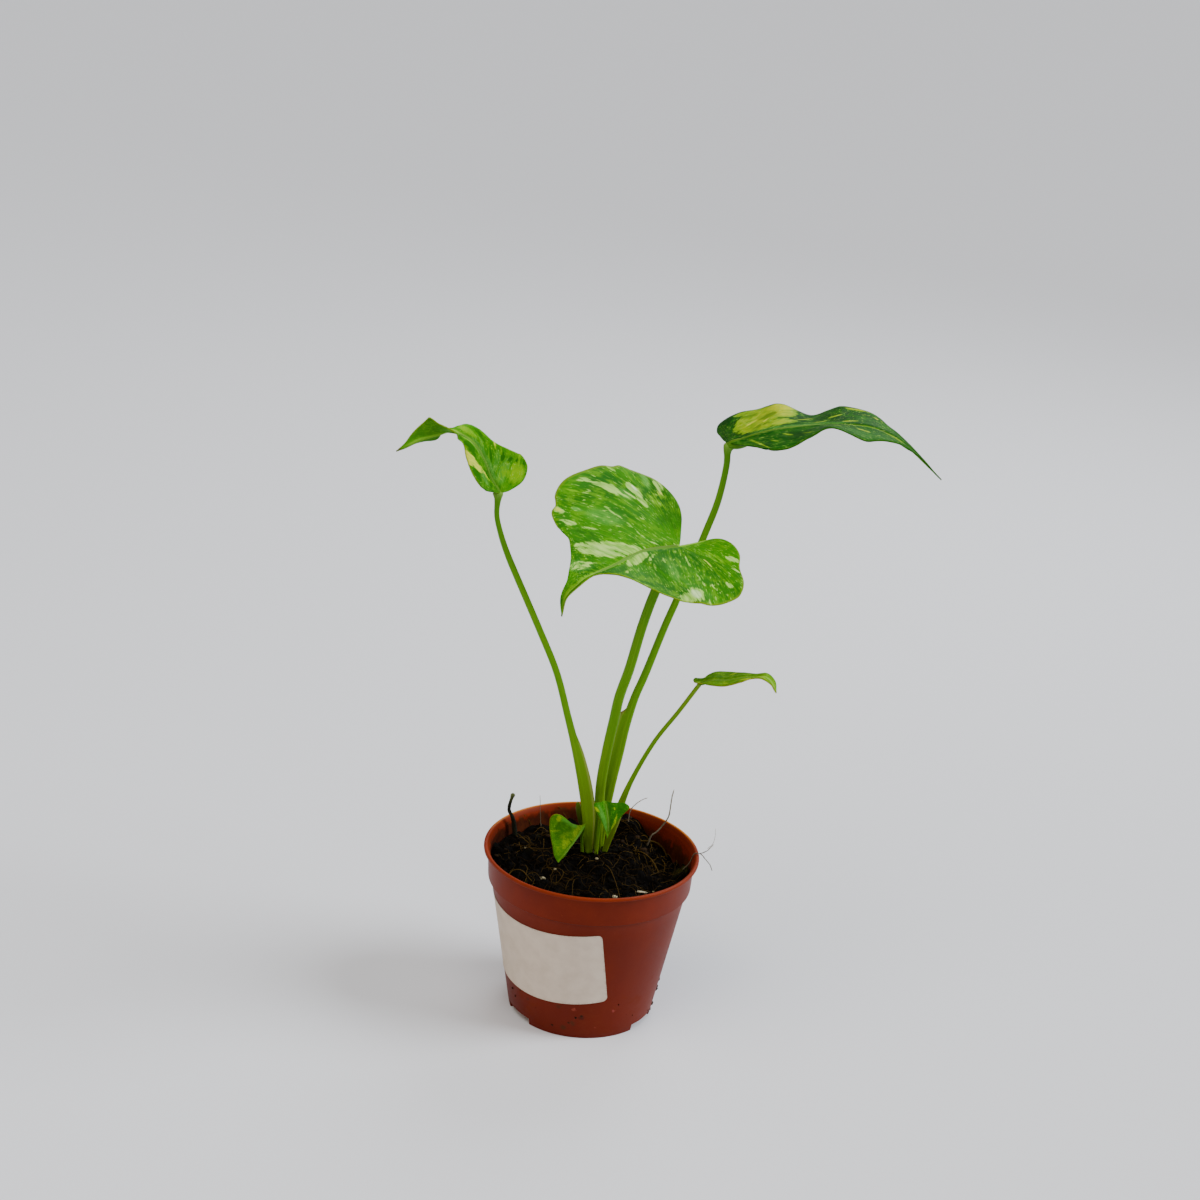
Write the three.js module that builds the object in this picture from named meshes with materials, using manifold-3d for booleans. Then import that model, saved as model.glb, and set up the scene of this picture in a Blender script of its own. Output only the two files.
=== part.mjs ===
// A young potted aroid with six variegated leaves, in a terracotta-coloured nursery pot.
// Millimetres and degrees. Z is up, the front faces -Y, and the origin is on the floor, on the pot's axis.
// An azimuth is measured at the pot's axis, from -Y towards +X.
import * as THREE from 'three';
import { mergeVertices } from 'three/addons/utils/BufferGeometryUtils.js';
import Module from 'manifold-3d';

const wasm = await Module();
wasm.setup();

// Driving dimensions
const seatGap = 0.3; // between two pieces that touch on the real plant
const bladeThickness = 0.6;

const pot = {
  height: 73.4,
  footRadius: 30.5,
  bandStepZ: 59.5, // lower edge of the band under the rim
  wallTopRadius: 41.4, // outside of the wall where the band starts
  bandLowRadius: 42.8,
  bandHighRadius: 43.5,
  rimRadius: 45.4,
  rimHeight: 1.5,
  rimRound: 0.4,
  rimWidth: 1.5,
  wall: 0.95,
  floorUnder: 3.4,
  floorTop: 4.4,
  footWidth: 1.9,
  padRadius: 8, // flat pad under the middle of the floor
  facets: 56,
};

const notches = { count: 3, width: 31, height: 3, firstAzimuth: 62.5 };
const drains = { count: 6, radius: 2.6, circle: 19 };

// The sheet's middle lies at an azimuth, and at a distance along the slant from the wall cone's apex.
const label = {
  width: 73,
  height: 35.5,
  corner: 2,
  azimuth: -42.1,
  middle: 203.9,
  thickness: 0.4,
  standOff: 0.2,
  columns: 26,
  rows: 8,
};

const soil = {
  level: 65.6,
  moundRise: 2.9,
  moundSpread: 15,
  rightDrop: 3.2,
  rightStart: 12,
  rightEnd: 38,
  lumps: [
    { height: 0.9, alongX: 0.31, alongY: 0.27, phase: 0.8 },
    { height: 0.6, alongX: 0.83, alongY: -0.46, phase: 2 },
    { height: 0.4, alongX: 0.52, alongY: 1.13, phase: 1 },
  ],
  twigHole: 1.6,
  rings: 8,
  facets: 60,
};

const crown = { x: 0.8, y: 9.2, topRadius: 6, bottomRadius: 3.2, bottomZ: 50, topZ: 69 };

// Stalks: a route from the crown to the blade, then half width, half depth and the sheath's wing
// on its right, each at a fraction of the length.
const stalks = {
  petiole_left: {
    route: [
      [-1.2, 6.4, 69.3], [-2.2, 5.9, 82], [-3.7, 5.5, 93], [-8.6, 5, 114], [-13.6, 5, 131],
      [-20, 6, 149.6], [-28.4, 7, 167], [-34.6, 8, 179.5], [-44, 10, 198.4], [-47, 10.5, 206.6],
      [-48.9, 11, 214], [-49, 11, 222.3],
    ],
    section: [
      [0, 1.2, 1.2, 0.1], [0.15, 1.9, 1.5, 0.9], [0.28, 1.7, 1.4, 0.8], [0.4, 1.3, 1.3, 0],
      [0.8, 1.15, 1.15, 0], [1, 0.9, 0.9, 0],
    ],
    steps: 22,
  },
  petiole_centre: {
    route: [
      [2.4, 9.6, 69.3], [1.8, 9.4, 84], [1, 9, 98], [2.4, 7, 115.6], [4.2, 5, 131.3], [5.6, 3, 142],
      [8.2, 0, 156], [11.7, -4, 177], [15.9, -7, 193], [23.7, -11.8, 214.2],
    ],
    section: [
      [0, 1.5, 1.5, 0], [0.15, 1.9, 1.7, 0], [0.5, 1.9, 1.8, 0], [0.85, 1.75, 1.7, 0], [1, 1.5, 1.5, 0],
    ],
    steps: 18,
  },
  petiole_right: {
    route: [
      [3.4, 13.4, 69.3], [4.9, 13.3, 86], [6.0, 13.2, 99.6], [8.4, 14, 125], [12.4, 15, 137.4],
      [15.4, 16, 147], [22.4, 18, 169], [26.3, 19, 180], [35.9, 22, 210], [39.8, 23, 223.7],
      [41.9, 24, 239], [41.8, 24, 246.2],
    ],
    section: [
      [0, 1.4, 1.3, 0], [0.15, 1.9, 1.5, 0.8], [0.3, 1.7, 1.4, 0.6], [0.4, 1.3, 1.3, 0],
      [0.9, 1.15, 1.15, 0], [0.96, 1.4, 1.4, 0], [1, 2.2, 2.0, 0],
    ],
    steps: 24,
  },
  petiole_small_right: {
    route: [
      [5.3, 8.6, 69.3], [7.2, 7, 77], [11, 5, 94.5], [15.8, 3, 109], [22.7, 0, 125.6], [30.7, -3, 140],
      [38, -5.9, 153.9],
    ],
    section: [
      [0, 1.1, 1, 0], [0.2, 1.3, 1, 0.5], [0.34, 0.9, 0.8, 0.2], [0.5, 0.65, 0.65, 0], [1, 0.6, 0.6, 0],
    ],
    steps: 14,
  },
  petiole_low_left: {
    route: [[-3.7, 5.9, 69.3], [-4.4, 4.4, 74], [-4.4, 2.6, 79], [-3.8, 1, 82.6]],
    section: [[0, 0.7, 0.7, 0], [1, 0.55, 0.55, 0]],
    steps: 5,
  },
  petiole_low_right: {
    route: [[2.0, 5.6, 69.3], [2.2, 3.8, 80], [3, 1.2, 90], [3.9, -1.4, 94.8]],
    section: [[0, 0.8, 0.8, 0], [1, 0.6, 0.6, 0]],
    steps: 6,
  },
  shoot: {
    route: [[-2.2, 12.6, 69.3], [-4.2, 13.6, 76], [-5.9, 14.3, 81], [-7.6, 15, 87.5]],
    section: [[0, 1.2, 1.2, 0], [0.5, 1.3, 1.2, 0], [0.85, 0.8, 0.8, 0], [1, 0.3, 0.3, 0]],
    steps: 6,
  },
  twig: {
    route: [
      [-32.6, 20.7, 60], [-33.6, 21, 69.3], [-34.7, 21, 74.5], [-36.5, 21, 78.2], [-35.7, 21, 83.6],
      [-35, 21, 86.1],
    ],
    section: [[0, 0.7, 0.7, 0], [0.8, 0.65, 0.65, 0], [1, 0.4, 0.4, 0]],
    steps: 10,
  },
};

// Leaves: the midrib's route, the direction its upper face turns to at the stalk, the outline of the
// left and right halves as distance along the midrib (behind the stalk is negative) and out from it,
// and in degrees the fold of each half up from the midrib and the roll about it, at a fraction of
// the length. The side veins start at the stalk up to the margin's share named fan.
const leaves = {
  blade_left: {
    midrib: [
      [-49, 11, 224], [-53, 9, 231], [-55, 7, 237], [-58, 5, 243], [-61, 3, 247], [-65, 1, 250],
      [-68, -1, 252], [-73, -4, 251], [-77, -6, 250], [-81, -8, 249], [-85, -10, 247], [-89, -12, 245],
    ],
    facing: [0.3, -0.8, 0.4],
    left: [
      [-1, 0], [1, 2.2], [4, 5], [8, 8.6], [13, 11], [19, 10.6], [25, 8], [31, 4.3], [36, 4.6], [40, 7],
      [43.5, 9.4], [46.5, 8.2], [50, 5.4], [56, 2], [62, 0],
    ],
    right: [
      [-1, 0], [-3, 5], [-3, 11], [0, 16], [5, 18], [11, 14.5], [16, 9.6], [21, 7], [27, 5.8], [32, 3.8],
      [37, 3], [43, 4.5], [49, 4], [55, 2], [62, 0],
    ],
    foldLeft: [[0, 45], [0.3, 35], [0.5, 0], [1, 0]],
    foldRight: [[0, 0], [0.5, 0], [0.7, 40], [1, 30]],
    roll: [[0, 0], [0.32, 0], [0.52, 25], [0.61, 90], [0.7, 145], [0.82, 170], [1, 170]],
    fan: 0.3,
    rows: 24,
    columns: 3,
  },
  blade_centre: {
    midrib: [
      [24, -12, 215], [10, -24, 216], [0, -36, 214], [-10, -47, 212], [-14, -52, 210], [-18, -55, 206],
      [-19, -57, 199],
    ],
    facing: [0.1, -0.5, 0.86],
    left: [
      [-1, 0], [-10, 0.7], [-18, 1.5], [-22, 5], [-22, 12], [-18, 18], [-14, 26], [-8, 31], [2, 33],
      [12, 34], [22, 32.5], [30, 28.5], [37, 22], [45, 13.5], [53, 5.5], [61, 3], [69, 0],
    ],
    right: [
      [-1, 0], [-6, 7], [-11, 16], [-12, 25], [-8, 34], [3, 41], [17, 43], [30, 40], [39, 32], [45, 20],
      [50, 9], [58, 4], [69, 0],
    ],
    foldLeft: [
      [0, 4], [0.2, 8], [0.36, 8], [0.43, 11], [0.57, 28], [0.65, 40], [0.75, 50], [1, 45],
    ],
    foldRight: [[0, 5], [1, 0]],
    lobeBend: 18,
    fan: 0.4,
    rows: 28,
    columns: 4,
  },
  blade_right: {
    midrib: [
      [42, 24, 248], [57, 22, 255], [68, 21, 258], [78, 20, 260], [87, 19, 261], [97, 19, 261],
      [104, 19, 259], [110, 20, 256], [117, 21, 251], [129, 23, 240],
    ],
    facing: [0, 0, 1],
    left: [
      [-1, 0], [-4, 5], [-7, 12], [-8, 20], [-5, 28], [3, 34], [14, 34], [25, 32], [38, 28], [52, 22],
      [63, 15], [74, 8], [85, 3], [97, 0],
    ],
    right: [
      [-1, 0], [5, 3], [10, 10], [15, 18], [20, 24], [27, 26], [34, 23], [42, 19], [50, 17], [58, 15],
      [67, 10], [78, 4], [97, 0],
    ],
    foldLeft: [[0, 2], [0.12, 0], [0.22, 3], [0.34, -7], [0.46, 2], [0.6, 5], [0.75, 5], [1, 0]],
    foldRight: [[0, -3], [0.25, -3], [0.36, 4], [0.46, 18], [0.58, -2], [0.7, -5], [0.8, 0], [1, 0]],
    fan: 0.35,
    rows: 30,
    columns: 4,
  },
  blade_small_right: {
    midrib: [
      [38, -6, 155], [43, -7, 157], [49, -8, 158], [55, -9, 160], [60, -10, 161], [64, -11, 162],
      [67, -12, 160], [69, -13, 156],
    ],
    facing: [0, 0, 1],
    left: [[-1, 0], [-3, 1.5], [-3, 4], [0, 7], [5, 9.5], [11, 10], [17, 7.5], [23, 4], [29, 3], [36, 0]],
    right: [[-1, 0], [-1, 1.5], [1, 3], [6, 6], [12, 7], [18, 6.5], [24, 4], [29, 3], [36, 0]],
    foldLeft: [[0, 6], [0.3, 0], [1, 0]],
    foldRight: [[0, 0], [0.5, 5], [0.65, 15], [0.8, 0], [1, 0]],
    fan: 0.3,
    rows: 16,
    columns: 2,
  },
  blade_low_left: {
    midrib: [[-3.8, 0, 83.7], [-5.6, -3, 81.1], [-8, -6, 78], [-10.8, -8.5, 74.3], [-13.6, -10.5, 70.8]],
    facing: [0.2, -0.8, 0.5],
    left: [[-1, 0], [-1, 2], [1, 4], [5, 5], [9, 4], [13, 2.5], [17, 1], [20, 0]],
    right: [
      [-1, 0], [1, 2.4], [2.6, 5.4], [3, 8.6], [2.6, 11.4], [3.4, 13.6], [5.6, 14.6], [9, 13.4],
      [12.4, 10.8], [16, 6.4], [18.8, 2.8], [20, 0],
    ],
    foldLeft: [[0, -100], [0.5, -100], [1, -60]],
    foldRight: [[0, 5], [0.5, -10], [1, 0]],
    fan: 0.05,
    rows: 14,
    columns: 3,
  },
  blade_low_right: {
    midrib: [[4, -2, 96], [5, -4, 93], [6, -6, 88], [6, -7, 82]],
    facing: [0, -0.8, 0.6],
    left: [[-1, 0], [0.4, 4], [1.6, 8], [3.4, 9.4], [5.4, 7.6], [9, 4.2], [12, 2], [15, 0]],
    right: [[-1, 0], [-1, 2], [-1, 4.5], [2, 5.5], [6, 3.5], [10, 2], [12, 1], [15, 0]],
    foldLeft: [[0, 5], [1, 0]],
    foldRight: [[0, 5], [1, 0]],
    fan: 0.3,
    rows: 10,
    columns: 2,
  },
};

// Roots and coir fibres: routes that start in the mix, as x, y and the height over its surface.
const fibres = {
  radius: 0.45,
  tipShare: 0.8, // of the radius, at the far end
  sides: 4,
  steps: 7,
  routes: [
    [[23, 27.5, -1], [25, 29, 1.2], [27.4, 28.8, 2.4], [28.8, 26, 0.8], [29.6, 23.4, -1.2]],
    [[-34, -17, -1], [-32.6, -13.6, 1.4], [-29, -14.5, 2], [-24.5, -20, 1.4], [-20.5, -25, -1]],
    [[6, -2, -1], [8.4, -9, 1.3], [11.6, -20, 1.5], [13.4, -28, -1]],
    [[16.7, 19, -1], [22, 15, 1.6], [27, 7.6, 1.8], [30.6, -4, -1]],
    [[-5.4, -11, -1], [-6.6, -19, 1.2], [-6.6, -27, 1.4], [-6.2, -34, -1]],
    [[-22.4, 31, -1], [-22.9, 31.8, 3], [-23.4, 32.5, 8], [-24, 33, 14.5]],
    [[27.4, 26.2, -1], [28.6, 27.4, 4], [29.8, 28.6, 10], [30.4, 29.2, 18]],
  ],
};

// Bark, perlite and clay grains: x, y and half size.
const grains = {
  lift: 0.15, // of the middle over the surface, as a share of the half size
  shape: [1.2, 0.9, 0.8],
  list: [
    [-19.5, -14, 1.5], [2.4, 0.5, 1.2], [10.9, -27.5, 1.4], [20.8, -21.5, 2.3], [-14.6, -8.6, 1.1],
    [17.4, 27, 2.6], [35.4, 4, 2.2], [-28, 8, 1.8], [-12, 27, 2.1], [27, -14, 1.7], [-24, 22, 1.5],
    [33, 12, 1.9],
  ],
};

const finish = {
  pot: { color: '#7a2a12', roughness: 0.45 },
  label: { color: '#b6aca0', roughness: 0.8 },
  soil: { color: '#2a1b12', roughness: 0.95 },
  crown: { color: '#5c5a28', roughness: 0.7 },
  stalk: { color: '#6d9a22', roughness: 0.5 },
  shoot: { color: '#5f6f3c', roughness: 0.6 },
  twig: { color: '#1d1f18', roughness: 0.8 },
  leaf: { color: '#4f8f2a', roughness: 0.4 },
};

const plant = new THREE.Group();

function addPiece(name, geometry, look) {
  const mesh = new THREE.Mesh(geometry, new THREE.MeshStandardMaterial({ metalness: 0, ...look }));
  mesh.name = name;
  plant.add(mesh);
}

// Booleans

function toSolid(geometry) {
  const bare = geometry.clone();
  bare.deleteAttribute('normal');
  bare.deleteAttribute('uv');
  const merged = mergeVertices(bare, 1e-4);
  return new wasm.Manifold(
    new wasm.Mesh({
      numProp: 3,
      vertProperties: merged.attributes.position.array,
      triVerts: new Uint32Array(merged.index.array),
    }),
  );
}

function toGeometry(solid) {
  const mesh = solid.getMesh();
  const geometry = new THREE.BufferGeometry();
  geometry.setAttribute('position', new THREE.BufferAttribute(mesh.vertProperties, 3));
  geometry.setIndex(new THREE.BufferAttribute(mesh.triVerts, 1));
  return geometry;
}

// Shared shapes

// A profile of [radius, z] points turned about Z.
function turned(profile, facets) {
  const points = profile.map(([radius, z]) => new THREE.Vector2(radius, z));
  return new THREE.LatheGeometry(points, facets).rotateX(Math.PI / 2);
}

// An upright round hole cutter.
function holeCutter(x, y, radius, lowZ, highZ) {
  const cutter = new THREE.CylinderGeometry(radius, radius, highZ - lowZ, 20);
  return toSolid(cutter.rotateX(Math.PI / 2).translate(x, y, (lowZ + highZ) / 2));
}

// The value at a fraction, read smoothly from a list of [fraction, value] and level at both ends.
function smoothValue(list, fraction) {
  const last = list.length - 1;
  const at = THREE.MathUtils.clamp(fraction, list[0][0], list[last][0]);
  let i = 0;
  while (i < last - 1 && at > list[i + 1][0]) i += 1;
  const slope = (k) => {
    if (k === 0 || k === last) return 0;
    return (list[k + 1][1] - list[k - 1][1]) / (list[k + 1][0] - list[k - 1][0]);
  };
  const span = list[i + 1][0] - list[i][0];
  const t = (at - list[i][0]) / span;
  const square = t * t;
  const cube = square * t;
  return (
    (2 * cube - 3 * square + 1) * list[i][1] +
    (cube - 2 * square + t) * span * slope(i) +
    (3 * square - 2 * cube) * list[i + 1][1] +
    (cube - square) * span * slope(i + 1)
  );
}

function splineThrough(points) {
  const knots = points.map((p) => new THREE.Vector3(...p));
  const curve = new THREE.CatmullRomCurve3(knots, false, 'centripetal');
  curve.arcLengthDivisions = 400;
  return curve;
}

// A closed round bar along a route. Its section is read from [fraction, half width, half depth, wing]:
// the depth faces the front, and the wing widens the right-hand side.
function bar({ route, section, steps }, sides) {
  const curve = splineThrough(route);
  const read = (column) => (t) => smoothValue(section.map((row) => [row[0], row[column]]), t);
  const [halfWidth, halfDepth, wing] = [read(1), read(2), read(3)];
  const geometry = new THREE.CylinderGeometry(1, 1, 1, sides, steps);
  const vertices = geometry.attributes.position;
  const across = new THREE.Vector3();
  const front = new THREE.Vector3();
  for (let i = 0; i < vertices.count; i += 1) {
    const t = THREE.MathUtils.clamp(vertices.getY(i) + 0.5, 0, 1);
    const tangent = curve.getTangentAt(t);
    front.set(0, -1, 0);
    front.addScaledVector(tangent, -tangent.dot(front)).normalize();
    across.crossVectors(tangent, front);
    const side = vertices.getX(i);
    const width = halfWidth(t) + (side > 0 ? wing(t) : 0);
    const point = curve.getPointAt(t);
    point.addScaledVector(across, side * width);
    point.addScaledVector(front, vertices.getZ(i) * halfDepth(t));
    vertices.setXYZ(i, point.x, point.y, point.z);
  }
  return geometry;
}

// Pot

// The pot's inner wall as [radius, z] points: up the conical wall, then up inside the band.
const innerWall = [
  [pot.footRadius - pot.wall - 0.6, pot.floorTop],
  [pot.wallTopRadius - pot.wall, pot.bandStepZ],
  [pot.bandHighRadius - pot.wall, pot.height - pot.rimHeight - 2 * pot.rimRound],
];

function innerRadius(z) {
  const [low, high] = z < pot.bandStepZ ? [innerWall[0], innerWall[1]] : [innerWall[1], innerWall[2]];
  return THREE.MathUtils.mapLinear(z, low[1], high[1], low[0], high[0]);
}

function potGeometry() {
  const rimBase = pot.height - pot.rimHeight;
  const profile = [
    [0, pot.floorTop],
    ...innerWall,
    [pot.rimRadius - pot.rimWidth, pot.height - pot.rimRound],
    [pot.rimRadius - pot.rimWidth + pot.rimRound, pot.height],
    [pot.rimRadius - pot.rimRound, pot.height],
    [pot.rimRadius, pot.height - pot.rimRound],
    [pot.rimRadius, rimBase + pot.rimRound / 2],
    [pot.bandHighRadius, rimBase - pot.rimRound / 2],
    [pot.bandLowRadius, pot.bandStepZ + pot.rimRound],
    [pot.bandLowRadius - pot.rimRound, pot.bandStepZ],
    [pot.wallTopRadius, pot.bandStepZ],
    [pot.footRadius, 0],
    [pot.footRadius - pot.footWidth, 0],
    [pot.footRadius - pot.footWidth, pot.floorUnder],
    [pot.padRadius, pot.floorUnder],
    [pot.padRadius, 0],
    [0, 0],
  ];
  let body = toSolid(turned(profile.reverse(), pot.facets));
  const sector = new THREE.Shape();
  const half = THREE.MathUtils.degToRad(notches.width / 2);
  const [near, far] = [pot.footRadius - pot.footWidth - 2, pot.footRadius + 3];
  sector.moveTo(near * Math.cos(half), -near * Math.sin(half));
  sector.lineTo(far, -far * Math.tan(half));
  sector.lineTo(far, far * Math.tan(half));
  sector.lineTo(near * Math.cos(half), near * Math.sin(half));
  for (let i = 0; i < notches.count; i += 1) {
    const azimuth = notches.firstAzimuth + (360 / notches.count) * i;
    const cutter = new THREE.ExtrudeGeometry(sector, { depth: notches.height + 1, bevelEnabled: false });
    cutter.translate(0, 0, -1).rotateZ(THREE.MathUtils.degToRad(azimuth - 90));
    body = body.subtract(toSolid(cutter));
  }
  for (let i = 0; i < drains.count; i += 1) {
    const turn = (2 * Math.PI * i) / drains.count;
    const [x, y] = [drains.circle * Math.cos(turn), drains.circle * Math.sin(turn)];
    body = body.subtract(holeCutter(x, y, drains.radius, pot.floorUnder - 1, pot.floorTop + 1));
  }
  return toGeometry(body);
}

// Label: a flat sheet with round corners rolled onto the conical wall

function labelGeometry() {
  const slope = Math.atan((pot.wallTopRadius - pot.footRadius) / pot.bandStepZ);
  const apexZ = -pot.footRadius / Math.tan(slope);
  const geometry = new THREE.BoxGeometry(2, 2, 1, label.columns, label.rows, 1);
  const vertices = geometry.attributes.position;
  for (let i = 0; i < vertices.count; i += 1) {
    const down = Math.sin((vertices.getY(i) * Math.PI) / 2); // rows closer together at the corners
    const nearEnd = Math.max(0, Math.abs(down) * (label.height / 2) - (label.height / 2 - label.corner));
    const cornerCut = label.corner - Math.sqrt(label.corner ** 2 - nearEnd ** 2);
    const flatX = vertices.getX(i) * (label.width / 2 - cornerCut);
    const flatY = label.middle + (down * label.height) / 2;
    const slant = Math.hypot(flatX, flatY);
    const aside = Math.atan2(flatX, flatY) / Math.sin(slope);
    const azimuth = THREE.MathUtils.degToRad(label.azimuth) + aside;
    const lift = label.standOff + (vertices.getZ(i) + 0.5) * label.thickness;
    const radius = slant * Math.sin(slope) + lift * Math.cos(slope);
    const z = apexZ + slant * Math.cos(slope) - lift * Math.sin(slope);
    vertices.setXYZ(i, radius * Math.sin(azimuth), -radius * Math.cos(azimuth), z);
  }
  return geometry;
}

// Potting mix

function soilHeight(x, y) {
  const fromCrown = Math.hypot(x - crown.x, y - crown.y) / soil.moundSpread;
  const mound = soil.moundRise * Math.exp(-(fromCrown ** 2));
  const drop = soil.rightDrop * THREE.MathUtils.smoothstep(x, soil.rightStart, soil.rightEnd);
  const lumpiness = THREE.MathUtils.smoothstep(fromCrown, 0.4, 1);
  let z = soil.level + mound - drop;
  for (const { height, alongX, alongY, phase } of soil.lumps) {
    z += lumpiness * height * Math.sin(alongX * x + alongY * y + phase);
  }
  return z;
}

function soilGeometry() {
  const bottom = pot.floorTop + seatGap;
  const edge = innerRadius(soil.level) - seatGap;
  const profile = [
    [0, bottom],
    [innerRadius(bottom) - seatGap, bottom],
    [innerRadius(pot.bandStepZ) - seatGap, pot.bandStepZ],
  ];
  for (let ring = 0; ring <= soil.rings; ring += 1) {
    profile.push([edge * (1 - ring / soil.rings) ** 0.85, soil.level]);
  }
  const geometry = turned(profile, soil.facets);
  const vertices = geometry.attributes.position;
  for (let i = 0; i < vertices.count; i += 1) {
    if (vertices.getZ(i) <= pot.bandStepZ + 0.01) continue;
    const [x, y] = [vertices.getX(i), vertices.getY(i)];
    const z = soilHeight(x, y);
    const stretch = Math.hypot(x, y) > edge - 0.01 ? (innerRadius(z) - seatGap) / edge : 1;
    vertices.setXYZ(i, x * stretch, y * stretch, z);
  }
  let body = toSolid(geometry);
  const crownHole = crown.topRadius + seatGap;
  body = body.subtract(holeCutter(crown.x, crown.y, crownHole, crown.bottomZ - seatGap, pot.height));
  const [twigX, twigY, twigZ] = stalks.twig.route[0];
  body = body.subtract(holeCutter(twigX, twigY, soil.twigHole, twigZ - seatGap, pot.height));
  for (const grain of grainSolids()) body = body.add(grain);
  for (const fibre of fibreSolids()) body = body.add(fibre);
  return toGeometry(body);
}

function grainSolids() {
  return grains.list.map(([x, y, half], i) => {
    const stone = new THREE.IcosahedronGeometry(half, 0);
    stone.scale(...grains.shape).rotateZ(i).rotateX(Math.sin(i) / 2);
    return toSolid(stone.translate(x, y, soilHeight(x, y) + half * grains.lift));
  });
}

function fibreSolids() {
  return fibres.routes.map((points) => {
    const route = points.map(([x, y, over]) => [x, y, soilHeight(x, y) + over]);
    const tip = fibres.radius * fibres.tipShare;
    const section = [[0, fibres.radius, fibres.radius, 0], [1, tip, tip, 0]];
    return toSolid(bar({ route, section, steps: fibres.steps }, fibres.sides));
  });
}

function crownGeometry() {
  const profile = [
    [0, crown.bottomZ],
    [crown.bottomRadius, crown.bottomZ],
    [crown.topRadius - 0.6, crown.topZ - 6],
    [crown.topRadius, crown.topZ - 3],
    [crown.topRadius, crown.topZ - 0.8],
    [crown.topRadius - 0.7, crown.topZ],
    [0, crown.topZ],
  ];
  return turned(profile, 24).translate(crown.x, crown.y, 0);
}

// Leaf blades

const midribSamples = 160;
const veinCrowding = 0.9; // under 1, the side veins leave the midrib closer together towards the tip
const lobeBendSpan = 20; // a lobe behind the stalk bends down by its lobeBend over this length

// Position, direction and upper side along a midrib. The upper side is carried along the route
// without twisting and then rolled about it.
function midribFrames(leaf) {
  const curve = splineThrough(leaf.midrib);
  const frames = [];
  let direction = curve.getTangentAt(0);
  const carried = new THREE.Vector3(...leaf.facing);
  for (let i = 0; i <= midribSamples; i += 1) {
    const next = curve.getTangentAt(i / midribSamples);
    carried.applyQuaternion(new THREE.Quaternion().setFromUnitVectors(direction, next));
    carried.addScaledVector(next, -carried.dot(next)).normalize();
    direction = next;
    const roll = THREE.MathUtils.degToRad(leaf.roll ? smoothValue(leaf.roll, i / midribSamples) : 0);
    const upper = carried.clone().applyAxisAngle(direction, roll);
    frames.push({ point: curve.getPointAt(i / midribSamples), direction, upper });
  }
  return { frames, length: curve.getLength() };
}

// The point of a blade at a distance along its midrib and out from it, on one side: 1 left, -1 right.
function bladePoint(leaf, midrib, along, out, side) {
  const fraction = THREE.MathUtils.clamp(along / midrib.length, 0, 1);
  const place = fraction * midribSamples;
  const i = Math.min(Math.floor(place), midribSamples - 1);
  const [here, next] = [midrib.frames[i], midrib.frames[i + 1]];
  const point = here.point.clone().lerp(next.point, place - i);
  const direction = here.direction.clone().lerp(next.direction, place - i).normalize();
  const upper = here.upper.clone().lerp(next.upper, place - i);
  upper.addScaledVector(direction, -upper.dot(direction)).normalize();
  const leftward = upper.clone().cross(direction);
  if (along < 0) {
    const bend = THREE.MathUtils.degToRad(((leaf.lobeBend ?? 0) * -along) / lobeBendSpan);
    point.addScaledVector(direction, along * Math.cos(bend / 2));
    point.addScaledVector(upper, -along * Math.sin(bend / 2));
    upper.multiplyScalar(Math.cos(bend)).addScaledVector(direction, Math.sin(bend));
  }
  const foldList = side > 0 ? leaf.foldLeft : leaf.foldRight;
  const fold = THREE.MathUtils.degToRad(smoothValue(foldList, fraction));
  point.addScaledVector(leftward, side * out * Math.cos(fold));
  return point.addScaledVector(upper, out * Math.sin(fold));
}

// A blade is a web of rows from the midrib to the margin, first on the left half, then on the right.
// The rows up to the fan's share start at the stalk, and all end in one point at the tip.
function bladeGeometry(leaf) {
  const midrib = midribFrames(leaf);
  const points = [];
  const known = new Map();
  const pointIndex = (row, column, side, make) => {
    let key = `${side}/${row}/${column}`;
    if (row === leaf.rows) key = 'tip';
    else if (column === 0 && row / leaf.rows <= leaf.fan) key = 'stalk';
    else if (column === 0) key = `midrib/${row}`;
    else if (row === 0) key = `sinus/${column}`;
    if (!known.has(key)) {
      known.set(key, points.length);
      points.push(make());
    }
    return known.get(key);
  };
  const webs = [1, -1].map((side) => {
    const outline = splineThrough((side > 0 ? leaf.left : leaf.right).map(([x, y]) => [x, y, 0]));
    const tip = outline.getPointAt(1).x;
    const rows = [];
    for (let row = 0; row <= leaf.rows; row += 1) {
      const share = row / leaf.rows;
      const margin = outline.getPointAt(share);
      const marginX = margin.x > 0 ? (margin.x * midrib.length) / tip : margin.x;
      const pastFan = Math.max(0, share - leaf.fan) / (1 - leaf.fan);
      const start = midrib.length * pastFan ** veinCrowding;
      const line = [];
      for (let column = 0; column <= leaf.columns; column += 1) {
        const outward = column / leaf.columns;
        const along = start + (marginX - start) * outward;
        const make = () => bladePoint(leaf, midrib, along, margin.y * outward, side);
        line.push(pointIndex(row, column, side, make));
      }
      rows.push(line);
    }
    return { side, rows };
  });

  const faces = [];
  const addFace = (a, b, c) => {
    if (a !== b && b !== c && c !== a) faces.push([a, b, c]);
  };
  for (const { side, rows } of webs) {
    for (let row = 0; row < leaf.rows; row += 1) {
      for (let column = 0; column < leaf.columns; column += 1) {
        const [near, far] = [rows[row], rows[row + 1]];
        const corners = [near[column], far[column], far[column + 1], near[column + 1]];
        if (side < 0) corners.reverse();
        const [a, b, c, d] = corners;
        addFace(a, b, c);
        addFace(a, c, d);
      }
    }
  }
  const margin = webs[0].rows.map((line) => line[leaf.columns]);
  margin.push(...webs[1].rows.slice(1, -1).map((line) => line[leaf.columns]).reverse());
  return thickened(points, faces, margin);
}

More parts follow.
